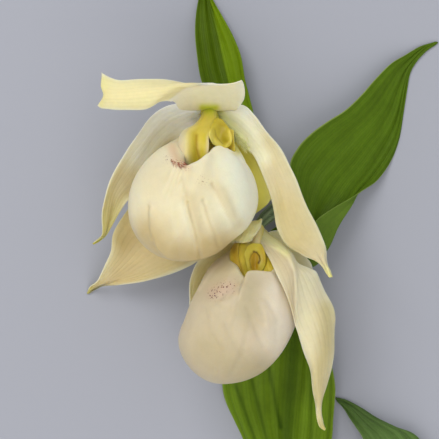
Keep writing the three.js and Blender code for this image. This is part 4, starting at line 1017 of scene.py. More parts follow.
@dataclass
class NodeMaker:
    """Adds nodes to a shader tree and joins them."""

    tree: NodeTree

    def add(self, kind: str, inputs: dict | None = None, **settings: object) -> Node:
        """Adds a node.

        Args:
            kind: the node's type.
            inputs: socket names or numbers, with a value or another node's output for each.
            settings: the node's own settings.

        Returns:
            The new node.
        """
        node = self.tree.nodes.new(kind)
        for name, value in settings.items():
            setattr(node, name, value)
        for name, value in (inputs or {}).items():
            self.feed(node.inputs[name], value)
        return node

    def feed(self, socket: NodeSocket, value: object) -> None:
        """Joins an output to a socket, or sets the socket's own value."""
        if isinstance(value, NodeSocket):
            self.tree.links.new(value, socket)
        else:
            socket.default_value = value

    def math(self, operation: str, first: object, second: object = 0, third: object = 0) -> NodeSocket:
        """Adds a Math node and returns its output."""
        node = self.add("ShaderNodeMath", {0: first, 1: second, 2: third}, operation=operation)
        return node.outputs[0]

    def span(self, value: object, low: float, high: float, start: float = 0, end: float = 1) -> NodeSocket:
        """Maps low to high smoothly onto start to end, and returns the output."""
        inputs = {"Value": value, "From Min": low, "From Max": high, "To Min": start, "To Max": end}
        node = self.add("ShaderNodeMapRange", inputs, interpolation_type="SMOOTHSTEP", clamp=True)
        return node.outputs["Result"]

    def mix(self, share: object, first: object, second: object) -> NodeSocket:
        """Mixes two colours and returns the output."""
        node = self.add("ShaderNodeMix", {0: share, 6: first, 7: second}, data_type="RGBA", clamp_factor=True)
        return node.outputs[2]

    def noise(self, place: object, scale: object, detail: float) -> NodeOutputs:
        """Adds a Noise node that reads a place, and returns its outputs."""
        return self.add("ShaderNodeTexNoise", {"Vector": place, "Scale": scale, "Detail": detail}).outputs

    def value_of(self, name: str) -> NodeSocket:
        """Reads a named value of the piece's points."""
        return self.add("ShaderNodeAttribute", attribute_type="GEOMETRY", attribute_name=name).outputs["Fac"]

    def group(self, tree: NodeTree, inputs: dict[str, object]) -> Node:
        """Places a node group and sets its inputs."""
        node = self.tree.nodes.new("ShaderNodeGroup")
        node.node_tree = tree
        for name, value in inputs.items():
            self.feed(node.inputs[name], value)
        return node


Group = tuple[NodeMaker, NodeOutputs, NodeInputs]


def new_group(
    name: str, inputs: dict[str, float | str], output: str, kind: str = "Float", tree: str = "Shader"
) -> Group:
    """Starts a node group.

    Args:
        name: the group's name.
        inputs: input names, each with its starting value or its kind.
        output: the output's name.
        kind: the output's kind.
        tree: what the group is for.

    Returns:
        A maker for the group's tree, the sockets that its nodes read and those that they feed.
    """
    group = bpy.data.node_groups.new(name, f"{tree}NodeTree")
    for label, start in inputs.items():
        given_kind = start if isinstance(start, str) else "Float"
        socket = group.interface.new_socket(name=label, in_out="INPUT", socket_type=f"NodeSocket{given_kind}")
        if not isinstance(start, str):
            socket.default_value = start
    group.interface.new_socket(name=output, in_out="OUTPUT", socket_type=f"NodeSocket{kind}")
    maker = NodeMaker(group)
    return maker, maker.add("NodeGroupInput").outputs, maker.add("NodeGroupOutput").inputs


def veins_group() -> NodeTree:
    """Makes lines that run along a blade, a little uneven, as a mask and a height."""
    inputs = {"Surface": "Vector", "Place": "Vector", "Count": 9, "Width": 0.25, "Waver": 0.02}
    maker, given, out = new_group("Long veins", inputs, "Mask")
    split = maker.add("ShaderNodeSeparateXYZ", {0: given["Surface"]})
    drift = maker.noise(given["Place"], 45, 2)
    offset = maker.math("SUBTRACT", drift["Fac"], 0.5)
    moved = maker.math("MULTIPLY_ADD", offset, given["Waver"], split.outputs["X"])
    wave = maker.math("PINGPONG", maker.math("MULTIPLY", moved, given["Count"]), 0.5)
    near = maker.math("DIVIDE", wave, given["Width"])
    line = maker.span(near, 0, 1, 1, 0)
    breaks = maker.noise(given["Place"], 160, 3)
    kept = maker.math("MULTIPLY_ADD", breaks["Fac"], -0.3, 1)
    maker.feed(out[0], maker.math("MULTIPLY", line, kept))
    return maker.tree


def mottle_group() -> NodeTree:
    """Makes soft uneven shading, from Low to High."""
    inputs = {"Place": "Vector", "Scale": 60, "Low": 0.9, "High": 1.05}
    maker, given, out = new_group("Soft mottle", inputs, "Value")
    broad = maker.noise(given["Place"], given["Scale"], 3)
    finer = maker.math("MULTIPLY", given["Scale"], 6)
    fine = maker.noise(given["Place"], finer, 2)
    both = maker.math("MULTIPLY_ADD", fine["Fac"], 0.35, maker.math("MULTIPLY", broad["Fac"], 0.65))
    node = maker.add("ShaderNodeMapRange", {"Value": both, "From Min": 0.32, "From Max": 0.68}, clamp=True)
    maker.feed(node.inputs["To Min"], given["Low"])
    maker.feed(node.inputs["To Max"], given["High"])
    maker.feed(out[0], node.outputs["Result"])
    return maker.tree


def cells_group() -> NodeTree:
    """Makes the fine grain of plant skin, as a height."""
    inputs = {"Place": "Vector", "Scale": 1400}
    maker, given, out = new_group("Plant skin", inputs, "Height")
    voronoi = maker.add("ShaderNodeTexVoronoi", {"Vector": given["Place"], "Scale": given["Scale"]})
    slow = maker.math("MULTIPLY", given["Scale"], 0.22)
    noise = maker.noise(given["Place"], slow, 3)
    domes = maker.math("SUBTRACT", 1, voronoi.outputs["Distance"])
    maker.feed(out[0], maker.math("MULTIPLY_ADD", domes, 0.4, noise["Fac"]))
    return maker.tree


def specks_group() -> NodeTree:
    """Makes small round specks of uneven size, as a mask."""
    inputs = {"Place": "Vector", "Scale": 1200, "Size": 0.3, "Share": 0.5}
    maker, given, out = new_group("Small specks", inputs, "Mask")
    warp = maker.noise(given["Place"], 900, 1)
    shift = maker.add("ShaderNodeVectorMath", {0: warp["Color"], 1: (0.0004, 0.0004, 0.0004)}, operation="MULTIPLY")
    moved = maker.add("ShaderNodeVectorMath", {0: given["Place"], 1: shift.outputs[0]}, operation="ADD")
    dots = maker.add("ShaderNodeTexVoronoi", {"Vector": moved.outputs[0], "Scale": given["Scale"]})
    split = maker.add("ShaderNodeSeparateColor", {0: dots.outputs["Color"]})
    chosen = maker.math("LESS_THAN", split.outputs[0], given["Share"])
    size = maker.math("MULTIPLY", given["Size"], maker.math("MULTIPLY_ADD", split.outputs[1], 0.8, 0.5))
    near = maker.math("DIVIDE", dots.outputs["Distance"], size)
    round_speck = maker.span(near, 0.6, 1, 1, 0)
    maker.feed(out[0], maker.math("MULTIPLY", round_speck, chosen))
    return maker.tree


@dataclass
class Groups:
    """The shader groups that the finishes share, each built once."""

    veins: NodeTree = field(default_factory=veins_group)
    mottle: NodeTree = field(default_factory=mottle_group)
    cells: NodeTree = field(default_factory=cells_group)
    specks: NodeTree = field(default_factory=specks_group)


# --- finishes


@dataclass(frozen=True)
class Touch:
    """How a skin feels and takes light.

    Cells are per metre. The bump and the depth that light reaches are in metres, soft is the share of light that
    goes in and comes out again, and glow says how far each of its colours goes, as shares of that depth.
    """

    cells: float
    roughness: float
    bump: float
    soft: float = 0
    glow: Point = (1, 1, 1)
    depth: float = 0.001
    sheen: float = 0
    gloss: float = 0.3


@dataclass
class Canvas:
    """What every finish works on: a material's tree with the piece's coordinates."""

    name: str
    groups: Groups
    material: Material = field(init=False)
    maker: NodeMaker = field(init=False)
    place: NodeSocket = field(init=False)
    surface: NodeSocket = field(init=False)

    def __post_init__(self) -> None:
        """Makes the material and reads its coordinates."""
        self.material = bpy.data.materials.new(self.name)
        self.material.use_nodes = True
        self.material.node_tree.nodes.clear()
        self.maker = NodeMaker(self.material.node_tree)
        self.place = self.maker.add("ShaderNodeTexCoord").outputs["Object"]
        self.surface = self.maker.add("ShaderNodeUVMap", uv_map="Surface").outputs["UV"]

    def along(self, axis: str) -> NodeSocket:
        """Reads the place across, X, or along, Y, the piece's surface."""
        return self.maker.add("ShaderNodeSeparateXYZ", {0: self.surface}).outputs[axis]

    def lines(self, count: float, width: float, drift: float) -> NodeSocket:
        """Gives the mask of a number of long lines."""
        inputs = {"Surface": self.surface, "Place": self.place, "Count": count, "Width": width, "Waver": drift}
        return self.maker.group(self.groups.veins, inputs).outputs["Mask"]

    def mottle(self, scale: float, low: float, high: float) -> NodeSocket:
        """Gives soft uneven values from low to high."""
        inputs = {"Place": self.place, "Scale": scale, "Low": low, "High": high}
        return self.maker.group(self.groups.mottle, inputs).outputs["Value"]

    def dots(self, scale: float, size: float, share: float) -> NodeSocket:
        """Gives the mask of small specks."""
        inputs = {"Place": self.place, "Scale": scale, "Size": size, "Share": share}
        return self.maker.group(self.groups.specks, inputs).outputs["Mask"]

    def tinted(self, colour: object, marks: Tints) -> object:
        """Lays named marks over a colour, each in its own colour."""
        for name, tint in marks:
            share = self.maker.math("MINIMUM", self.maker.value_of(name), 1)
            colour = self.maker.mix(share, colour, tint)
        return colour

    def edged(self, colour: object, start: float, share: float, margin: Colour) -> NodeSocket:
        """Fades a colour into that of the margins, from a start between 0 in the middle and 1."""
        side = self.maker.math("ABSOLUTE", self.maker.math("MULTIPLY_ADD", self.along("X"), 2, -1))
        return self.maker.mix(self.maker.span(side, start, 1, 0, share), colour, margin)

    def backed(self, colour: object, share: float, back: Colour) -> NodeSocket:
        """Gives the back of a blade its own colour."""
        behind = self.maker.span(self.maker.value_of("front"), 0.2, 0.6, share, 0)
        return self.maker.mix(behind, colour, back)

    def shaded(self, colour: object, value: NodeSocket) -> NodeSocket:
        """Makes a colour lighter or darker by a value."""
        return self.maker.add("ShaderNodeVectorMath", {0: colour, "Scale": value}, operation="SCALE").outputs[0]

    def close(self, colour: object, touch: Touch, groove: object = 0) -> Material:
        """Ends the tree in its shader.

        Args:
            colour: the base colour.
            touch: how the skin feels and takes light.
            groove: where the skin is drawn in, from 0 to 1.

        Returns:
            The material.
        """
        maker = self.maker
        grain = maker.group(self.groups.cells, {"Place": self.place, "Scale": touch.cells}).outputs["Height"]
        rough = maker.math("MULTIPLY_ADD", grain, 0.14, touch.roughness - 0.07)
        height = maker.math("MULTIPLY_ADD", groove, -1.3, grain)
        bumped = maker.add("ShaderNodeBump", {"Height": height, "Distance": touch.bump, "Strength": 1})
        skin = {"Base Color": colour, "Roughness": rough, "Normal": bumped.outputs["Normal"]}
        light = {"Subsurface Weight": touch.soft, "Subsurface Radius": touch.glow, "Subsurface Scale": touch.depth}
        shine = {"Specular IOR Level": touch.gloss, "Sheen Weight": touch.sheen}
        shader = maker.add("ShaderNodeBsdfPrincipled", {**skin, **light, **shine})
        maker.add("ShaderNodeOutputMaterial", {"Surface": shader.outputs["BSDF"]})
        return self.material


@dataclass(frozen=True)
class PetalFinish:
    """Soft cream to yellow-green skin with fine long veins."""

    name: str
    base: Colour
    middle: Colour
    tip: Colour
    vein: Colour = tone(0xCEC28A)
    margin: Colour = tone(0xF6ECCC)
    back: Colour = tone(0xDACE9E)
    turn_low: float = 0.25
    turn_high: float = 0.8
    veins: float = 9
    vein_strength: float = 0.12
    marks: Tints = ()
    touch: Touch = Touch(1400, 0.5, 0.00005, 0.75, (1, 0.8, 0.5), 0.0025, 0.04)

    def material(self, groups: Groups) -> Material:
        """Builds the material."""
        canvas = Canvas(self.name, groups)
        maker = canvas.maker
        along = canvas.along("Y")
        colour = maker.mix(maker.span(along, 0, self.turn_low), self.base, self.middle)
        colour = maker.mix(maker.span(along, self.turn_high, 1), colour, self.tip)
        veins = canvas.lines(self.veins, 0.3, 0.02)
        colour = maker.mix(maker.math("MULTIPLY", veins, self.vein_strength), colour, self.vein)
        colour = canvas.edged(colour, 0.8, 0.6, self.margin)
        colour = canvas.tinted(colour, self.marks)
        colour = canvas.backed(colour, 0.7, self.back)
        colour = canvas.shaded(colour, canvas.mottle(70, 0.93, 1.04))
        return canvas.close(colour, self.touch, veins)


@dataclass(frozen=True)
class PouchFinish:
    """Waxy cream skin that lets some light through, with painted warm shade along its folds and small red-brown
    specks.
    """

    name: str
    body: Colour
    shade: Colour
    rim: Colour
    lining: Colour
    speck: Colour
    marks: Tints = ()
    touch: Touch = Touch(1100, 0.42, 0.00005, 0.5, (1, 0.75, 0.4), 0.0025, 0.05)

    def material(self, groups: Groups) -> Material:
        """Builds the material."""
        canvas = Canvas(self.name, groups)
        maker = canvas.maker
        colour = maker.mix(maker.math("MULTIPLY", canvas.mottle(45, 0, 1), 0.25), self.body, self.shade)
        # Painted shade along the creases.
        crease_shade = maker.math("MINIMUM", maker.math("MULTIPLY", maker.value_of("crease_shade"), 0.7), 0.85)
        colour = maker.mix(crease_shade, colour, self.shade)
        colour = maker.mix(maker.span(canvas.along("Y"), 0.93, 1.03, 0, 0.8), colour, self.rim)
        colour = canvas.tinted(colour, self.marks)
        dotted = maker.math("MULTIPLY", canvas.dots(1150, 0.38, 0.85), maker.value_of("specks"))
        colour = maker.mix(maker.math("MINIMUM", dotted, 1), colour, self.speck)
        colour = maker.mix(maker.math("MULTIPLY", maker.value_of("inside"), 0.8), colour, self.lining)
        colour = canvas.shaded(colour, canvas.mottle(260, 0.97, 1.03))
        return canvas.close(colour, self.touch)


@dataclass(frozen=True)
class LeafFinish:
    """Green leaf skin with parallel veins, lighter stripes and thin pale margins."""

    name: str
    dark: Colour
    bright: Colour
    vein: Colour
    margin: Colour = tone(0x96A85A)
    back: Colour = tone(0x688432)
    stripes: float = 14
    marks: Tints = ()
    touch: Touch = Touch(1700, 0.42, 0.00007, 0.12, (0.5, 1, 0.2), 0.0012, gloss=0.1)

    def material(self, groups: Groups) -> Material:
        """Builds the material."""
        canvas = Canvas(self.name, groups)
        maker = canvas.maker
        broad = canvas.lines(self.stripes, 0.5, 0.03)
        fine = canvas.lines(self.stripes * 3, 0.3, 0.01)
        colour = maker.mix(maker.math("MULTIPLY", broad, 0.45), self.dark, self.bright)
        colour = maker.mix(maker.math("MULTIPLY", fine, 0.22), colour, self.vein)
        colour = canvas.edged(colour, 0.97, 0.7, self.margin)
        colour = canvas.tinted(colour, self.marks)
        colour = canvas.backed(colour, 0.6, self.back)
        colour = canvas.shaded(colour, canvas.mottle(90, 0.88, 1.1))
        return canvas.close(colour, self.touch, fine)


@dataclass(frozen=True)
class StalkFinish:
    """Downy green stalk skin, lighter on its ribs, with a pale cut face."""

    name: str
    groove: Colour
    rib: Colour
    cut: Colour
    ribs: float = 6
    touch: Touch = Touch(1500, 0.5, 0.00008, 0.15, (0.6, 1, 0.3), 0.001, 0.15)

    def material(self, groups: Groups) -> Material:
        """Builds the material."""
        canvas = Canvas(self.name, groups)
        maker = canvas.maker
        colour = maker.mix(canvas.lines(self.ribs, 0.5, 0.02), self.groove, self.rib)
        colour = canvas.shaded(colour, canvas.mottle(150, 0.85, 1.1))
        pith = maker.mix(maker.math("MULTIPLY", canvas.dots(1500, 0.4, 0.6), 0.6), self.cut, self.groove)
        colour = maker.mix(maker.value_of("cut"), colour, pith)
        return canvas.close(colour, self.touch)


@dataclass(frozen=True)
class ColumnFinish:
    """Waxy yellow skin, with painted brown-gold shade along its grooves."""

    name: str
    body: Colour
    shade: Colour
    marks: Tints = ()
    touch: Touch = Touch(1300, 0.36, 0.00006, 0.35, (1, 0.7, 0.2), 0.0015)

    def material(self, groups: Groups) -> Material:
        """Builds the material."""
        canvas = Canvas(self.name, groups)
        maker = canvas.maker
        colour = maker.mix(maker.math("MULTIPLY", canvas.mottle(220, 0, 1), 0.4), self.body, self.shade)
        return canvas.close(canvas.tinted(colour, self.marks), self.touch)


Finish = PetalFinish | PouchFinish | LeafFinish | StalkFinish | ColumnFinish

# --- hairs


@dataclass(frozen=True)
class Down:
    """Short tapered hairs on a piece's skin, thickest where a named value of its points is high."""

    name: str
    where: str
    root: Colour
    tip: Colour
    density: float = 4.0e6
    length: float = 0.0012
    radius: float = 0.00004
    lean: float = 0.5
    seed: int = 1
    way: Point = (0.0, 0.0, 0.0)

    def tree(self) -> NodeTree:
        """Builds the tree that sets one hair on each of many points."""
        kinds = {"Geometry": "Geometry", "Density": "Float", "Length": "Float", "Radius": "Float", "Lean": "Float"}
        inputs = {**kinds, "Way": "Vector", "Seed": "Int", "Material": "Material"}
        maker, given, out = new_group(f"{self.name}_tree", inputs, "Geometry", "Geometry", "Geometry")
        share = maker.add("GeometryNodeInputNamedAttribute", {"Name": self.where}, data_type="FLOAT")
        thick = maker.math("MULTIPLY", share.outputs["Attribute"], given["Density"])
        spread = {"Mesh": given["Geometry"], "Density": thick, "Seed": given["Seed"]}
        points = maker.add("GeometryNodeDistributePointsOnFaces", spread)
        stray = maker.add("FunctionNodeRandomValue", {0: (-1, -1, -1), 1: (1, 1, 1)}, data_type="FLOAT_VECTOR")
        maker.feed(stray.inputs["Seed"], given["Seed"])
        stray = maker.add("ShaderNodeVectorMath", {0: stray.outputs[0], "Scale": given["Lean"]}, operation="SCALE")
        way = maker.add("ShaderNodeVectorMath", {0: points.outputs["Normal"], 1: given["Way"]}, operation="ADD")
        way = maker.add("ShaderNodeVectorMath", {0: way.outputs[0], 1: stray.outputs[0]}, operation="ADD")
        rotation = maker.add("FunctionNodeAlignRotationToVector", {"Vector": way.outputs[0]}, axis="Z")
        scale = maker.add("FunctionNodeRandomValue", {2: 0.5, 3: 1.2}, data_type="FLOAT")
        copies = {"Points": points.outputs["Points"], "Instance": self.hair(maker, given)}
        placed = maker.add("GeometryNodeInstanceOnPoints", {**copies, "Rotation": rotation.outputs[0]})
        maker.feed(placed.inputs["Scale"], scale.outputs[1])
        real = maker.add("GeometryNodeRealizeInstances", {"Geometry": placed.outputs["Instances"]})
        dressed = maker.add("GeometryNodeSetMaterial", {"Geometry": real.outputs[0], "Material": given["Material"]})
        maker.feed(out[0], dressed.outputs[0])
        return maker.tree

    def hair(self, maker: NodeMaker, given: NodeOutputs) -> NodeSocket:
        """Adds one bent, tapered hair, which keeps how far along it each point lies."""
        sizes = {"Vertices": 4, "Side Segments": 3, "Radius Top": 0.0, "Radius Bottom": given["Radius"]}
        cone = maker.add("GeometryNodeMeshCone", {**sizes, "Depth": given["Length"]})
        place = maker.add("GeometryNodeInputPosition").outputs[0]
        height = maker.add("ShaderNodeSeparateXYZ", {0: place}).outputs[2]
        along = maker.math("DIVIDE", height, given["Length"])
        kept = {"Geometry": cone.outputs["Mesh"], "Name": "along", "Value": along}
        stored = maker.add("GeometryNodeStoreNamedAttribute", kept, data_type="FLOAT", domain="POINT")
        bend = maker.math("MULTIPLY", maker.math("MULTIPLY", along, height), 0.5)
        offset = maker.add("ShaderNodeCombineXYZ", {0: bend})
        moved = {"Geometry": stored.outputs[0], "Offset": offset.outputs[0]}
        return maker.add("GeometryNodeSetPosition", moved).outputs[0]

    def material(self, groups: Groups) -> Material:
        """Builds the hairs' finish, from their roots' colour to their tips'."""
        canvas = Canvas(f"{self.name}_skin", groups)
        colour = canvas.maker.mix(canvas.maker.value_of("along"), self.root, self.tip)
        return canvas.close(canvas.shaded(colour, canvas.mottle(900.0, 0.85, 1.1)), Touch(900.0, 0.5, 0.00001))

    def grow(self, skin: Object, groups: Groups) -> Object:
        """Sets the hairs on a piece.

        Args:
            skin: the piece that they stand on.
            groups: the shader groups.

        Returns:
            The hairs as a plain mesh object of their own.
        """
        host = in_scene(f"{self.name}_host", skin.data.copy())
        tree = self.tree()
        modifier = host.modifiers.new("Down", "NODES")
        modifier.node_group = tree
        sizes = {"Density": self.density, "Length": self.length, "Radius": self.radius, "Lean": self.lean}
        values = {**sizes, "Way": self.way, "Seed": self.seed, "Material": self.material(groups)}
        for socket in tree.interface.items_tree:
            if socket.in_out == "INPUT" and socket.name in values:
                modifier[socket.identifier] = values[socket.name]
        mesh = bpy.data.meshes.new_from_object(host.evaluated_get(bpy.context.evaluated_depsgraph_get()))
        host.modifiers.clear()
        bpy.data.objects.remove(host)
        for vertex in mesh.vertices:
            vertex.co.z = max(vertex.co.z, 0.0)
        return in_scene(self.name, mesh)


# --- marks and skins

EVERYWHERE = (Stroke(((0, 0),), 10000),)
UPPER_DORSAL_MARKS: Marks = {
    # Painted light: the hood, which lies in shade, is made lighter on this side of the fold.
    "shade": (Stroke(((-8.2, 57), (-14.1, 55.8), (-16.6, 54.4), (-21.2, 50.6), (-24, 46)), 40, 0.95, 0.7),),
    "green": (Stroke(((-7.2, 47.2), (-1.6, 47.2)), 1.8, 1),),
    # Painted shade: a thin darker line along the fold.
    "line": (Stroke(((-21, 50.8), (-16.6, 54.5), (-14.1, 55.9), (-8.2, 57)), 0.5, 0.25),),
}
UPPER_DORSAL_FOLDS = (Fold(((-9, 57), (-14.1, 55.8), (-16.6, 54.4), (-21.2, 50.6), (-24, 46)), 0.7, 5),)
UPPER_DORSAL_PULLS = (
    Pull((8.6, 57.3), 2.4, (0.6, 1.9, 0.6)),
    Pull((10.4, 47), 3, (-1.6, 0.4, 0), False),
    Pull((-49.1, 60.9), 2, (-0.4, 0.8, 0.3)),
)
UPPER_SYNSEPAL_MARKS: Marks = {
    # Painted light along the lit upper-left margin.
    "pale": (Stroke(((-43, -4), (-46, -13), (-50, -22)), 4, 0.7),),
    # Painted shade: an olive-yellow that stands in for the shade beside the pouch and the light through the sepal.
    "olive_shade": (Stroke(((8, 31), (14.1, 20.7), (18, 10.5), (17, 0.6)), 6.5, 1),),
    "shade": (Stroke(((-40, 6), (-42, -8)), 5, 0.8),),
}
# Painted light on the petal's upper part, which lies in the hood's shade.
UPPER_LEFT_MARKS: Marks = {"pale": (Stroke(((-21, 44), (-29.2, 35.5), (-34, 26)), 6, 0.9),)}
UPPER_RIGHT_MARKS: Marks = {
    # Painted light on the petal's upper part.
    "pale": (Stroke(((8, 43), (13.5, 35.5), (18, 26)), 4, 0.8),),
    # The petal's own greenish base, made lighter as painted light where the hood shades it.
    "green": (Stroke(((0, 45), (4, 41), (9, 33.6)), 2.6, 0.85),),
    "shade": (Stroke(((28, 4), (33, -6)), 8, 0.8),),
    "down": (Stroke(((2.6, 38.8), (6.4, 35.4), (10.8, 31.2)), 1.1, 1),),
}
LOWER_DORSAL_MARKS: Marks = {"green": (Stroke(((17.2, -1),), 1.6, 0.4),)}
LOWER_DORSAL_PULLS = (Pull((17.4, -0.8), 1.8, (0.4, 1, 0.4)),)
UPPER_COLUMN_MARKS: Marks = {"green": (Stroke(((-4.4, 46), (-1, 40)), 3.6, 0.9),)}
LOWER_COLUMN_MARKS: Marks = {"cream": (Stroke(((15.6, -4), (15.4, -8.6)), 2.6, 1),)}
PETAL_CREASE = ((18, -10.6), (23.4, -12.6), (28.4, -15.8), (31.3, -22.5), (31.7, -33.8), (31.7, -43.5))
LOWER_RIGHT_MARKS: Marks = {
    "blush": (Stroke(PETAL_CREASE[::-1], 9, 0.85, 0.5),),
    # Painted highlight along the lit strip at the petal's base.
    "bright": (Stroke(((16.4, -5.4), (22.6, -9.4), (28, -14.4)), 1.6, 0.9),),
    # Painted shadow line along the petal's upper margin.
    "line": (Stroke(((18.4, -4.4), (24, -8.4), (30, -13.6)), 0.5, 0.6),),
    "shade": (Stroke(((45, -38), (45, -52), (42, -64), (41, -76)), 4.4, 0.8),),
}
LOWER_RIGHT_FOLDS = (Fold(PETAL_CREASE, 0.7, 4, 0.5),)
UPPER_POUCH_CREASES = (
    Stroke(((-29.3, 5), (-28.9, -4.4), (-26, -11.6), (-20.8, -16.4)), 0.8, 0.85),
    Stroke(((-15.2, 17), (-13.4, 7)), 0.8, 0.3),
    Stroke(((-13.4, 7), (-10.9, -2.7), (-9, -11), (-8.4, -16)), 0.75, 0.9),
    Stroke(((-6.9, 8), (-4.6, -0.4), (-0.6, -11)), 0.7, 0.6),
    Stroke(((-3, 15), (3, 2.7), (7, -3.8)), 0.75, 0.6),
    Stroke(((-21.5, 0), (-20.5, -8), (-16, -14.5)), 1.4, 0.25),
    Stroke(((2, 14), (5, 8), (6.4, 2)), 1.2, 0.2),
)
UPPER_POUCH_FOLDS = (
    Fold(((-28.2, 9), (-28.8, 0), (-27.4, -8), (-23, -14), (-17, -17)), 1.6, 6, 1.2),
    Fold(((-14.6, 12.5), (-12.6, 2), (-10.7, -3.5), (-9, -11), (-8.4, -16)), 1.5, 6, 1.2),
    Fold(((-7.2, 8), (-4.8, -0.4), (-1.6, -8.2)), 1, 4, 1.2),
    Fold(((-2.8, 15), (3, 2.7), (7, -3.8)), 1.2, 4.6, 1.2),
)
LOWER_POUCH_CREASES = (
    Stroke(((9.5, -26.5), (5, -31.5), (1.9, -33.8)), 1.4, 0.6),
    Stroke(((11.6, -36.8), (14, -44), (18.3, -52.7)), 1.4, 0.35),
    Stroke(((2, -44), (5, -51), (11, -58)), 1.4, 0.3),
    Stroke(((20, -34), (24, -42), (24, -50)), 1.2, 0.25),
    Stroke(((-5.5, -38), (-4, -47), (1, -55)), 1.2, 0.25),
)
LOWER_POUCH_FOLDS = (
    Fold(((10.6, -25.2), (7.5, -28.5), (3.5, -32.5), (-1, -37)), 0.8, 4.5, 1),
    Fold(((16.5, -33), (19.5, -39), (20.5, -47)), 0.4, 4, 1),
)
UPPER_POUCH_MARKS: Marks = {
    # Painted light: the pouch's right side, away from the key light, and the lit sides of pleats.
    "pale": (
        Stroke(((8, 24), (13, 10), (12, -2)), 9, 1.2),
        Stroke(((-16, 6), (-13.4, -3), (-12, -10)), 1.8, 0.3),
        Stroke(((-5.6, 11), (0, 3), (3.4, -2.6)), 1.8, 0.3),
    ),
    # Painted warm shade: the pouch's lower band, its top toned down against the key light, and the shaded sides of
    # pleats.
    "tan_shade": (
        Stroke(((-30, -6), (-22, -14), (-10, -16), (0, -12)), 9, 1.05),
        Stroke(((-24, 16), (-8, 14)), 9, 0.28),
        Stroke(((-12.4, 9), (-9, -2.7), (-6.6, -10)), 2.6, 0.34),
        Stroke(((-1.4, 14), (5, 3), (8.4, -2)), 2.2, 0.3),
    ),
    "blush": (Stroke(((-19.8, 29.4), (-18.4, 25.6), (-14.4, 22.8)), 2.2, 0.85),),
    "fringe": (Stroke(((-19.2, 23.2), (-16.8, 22), (-14.4, 21.6)), 0.6, 0.6),),
    "specks": (Stroke(((-6.9, 15.8),), 2.2, 0.5), Stroke(((-22, 25), (-14, 22)), 1.6, 0.7)),
    # Painted shadow between the shield and the petal.
    "olive_shade": (Stroke(((2, 36.8), (5.8, 33), (7.2, 28.6)), 1.9, 1),),
    "tuft": (Stroke(((-19.4, 24.2), (-16.8, 23), (-14.6, 23)), 0.6, 1),),
}
LOWER_POUCH_MARKS: Marks = {
    # Painted light on the pouch's right side and along a lit ridge below the notch.
    "pale": (
        Stroke(((22, -30), (27, -42), (22, -54)), 8, 0.9),
        Stroke(((4, -16.4), (-1.9, -20.8), (-8.2, -29.6)), 0.8, 0.7),
    ),
    # Painted warm shade at the pouch's bottom.
    "tan_shade": (Stroke(((-4, -54), (6, -62), (16, -62)), 8, 0.85),),
    # Painted grey shade on the pouch's shoulders.
    "grey_shade": (
        Stroke(((4, -19), (-3.5, -30)), 6, 0.7),
        Stroke(((13, -28), (12, -38)), 6, 0.85),
    ),
    "blush": (Stroke(((-2.5, -31), (4.5, -29)), 3.2, 0.55),),
    "specks": (Stroke(((-2.2, -31.6), (1, -29.8), (5, -28.2)), 2.1, 1.6),),
}
UPPER_LOBE_MARKS: Marks = {
    "yellow": (Stroke(((-4.5, 42), (-8, 36), (-9, 20)), 5, 1.2),),
    "gold": (Stroke(((-11.4, 35.4), (-11.6, 29), (-9, 22)), 2.4, 0.75), Stroke(((-6, 34), (-6.4, 24)), 1.8, 0.7)),
    # Painted shade along the lobe's crease.
    "groove": (Stroke(((-9.7, 35), (-9.8, 30), (-8.2, 25)), 0.8, 0.85),),
    "lilac": (Stroke(((-4.6, 34), (-4.8, 28)), 0.9, 0.7), Stroke(((-17.4, 30), (-16.6, 23)), 2.6, 0.9)),
    "green": (Stroke(((-4.2, 46.2),), 3.2, 1.1),),
}
UPPER_LOBE_CREASES = (Stroke(((-9.7, 34.6), (-9.8, 30), (-8.2, 25)), 1.2, 0.5),)
LOWER_LEFT_LOBE_MARKS: Marks = {
    "gold": (Stroke(((8, -9), (8, -17), (11, -25)), 5.4, 1.25),),
    # Painted shade along the lobe's midrib.
    "groove": (Stroke(((6.4, -12), (6.6, -17), (8.6, -21.5)), 1.6, 0.8),),
}
LOWER_RIGHT_LOBE_MARKS: Marks = {"gold": (Stroke(((21, -18),), 30, 1),)}
UPPER_RIGHT_LOBE_MARKS: Marks = {"yellow": (Stroke(((5, 30),), 30, 1),)}
UPPER_SHIELD_CREASES = (Stroke(((-2, 37.4), (-1.6, 35), (0.2, 32.6), (1.4, 31.5)), 0.7, 0.35),)
UPPER_SHIELD_MARKS: Marks = {
    # Painted highlights along the shield's lit edges.
    "bright": (
        Stroke(((-4.3, 36.4), (-3.6, 34.2), (-2.3, 32.4), (-0.2, 31.2)), 1.1, 1),
        Stroke(((4.3, 36.9), (5, 33.2), (2.9, 30.5)), 0.5, 0.6),
    ),
    # Painted shade in the shield's hollow.
    "hollow_shade": (Stroke(((0.6, 38.4), (1.6, 36), (2.2, 33.4)), 2.7, 0.95),),
    # Painted shade line along the shield's crease.
    "rim": (Stroke(((-2, 37.4), (-1.6, 35), (0.2, 32.6), (1.4, 31.5)), 0.35, 0.35),),
}
LOWER_SHIELD_CREASES = (
    Stroke(((14.8, -15.6), (14.7, -19.4)), 1.9, 0.3),
    Stroke(((13, -19.4), (12.6, -17), (13.3, -14.7), (14.9, -13.6), (16.5, -14.8), (17.2, -17.2)), 0.35, 0.3),
)
LOWER_SHIELD_MARKS: Marks = {
    "oval": (Stroke(((14.8, -15.8), (14.7, -20)), 1.6, 2.2), Stroke(((17.9, -12.4), (18.8, -17)), 1.2, 0.6)),
    # Painted shade lines along the oval's edge and crease, and a painted highlight on the shield's left edge.
    "groove": (Stroke(((13, -20.4), (12.7, -17.2), (13.3, -14.8), (14.4, -13.7)), 0.3, 0.7),),
    "bright": (Stroke(((10.4, -13), (9.9, -18)), 0.5, 0.8),),
    "rim": (Stroke(((14.2, -13.6), (15.7, -13.9), (16.8, -15.3), (17.1, -17.2), (16.6, -18.4)), 0.4, 1),),
}
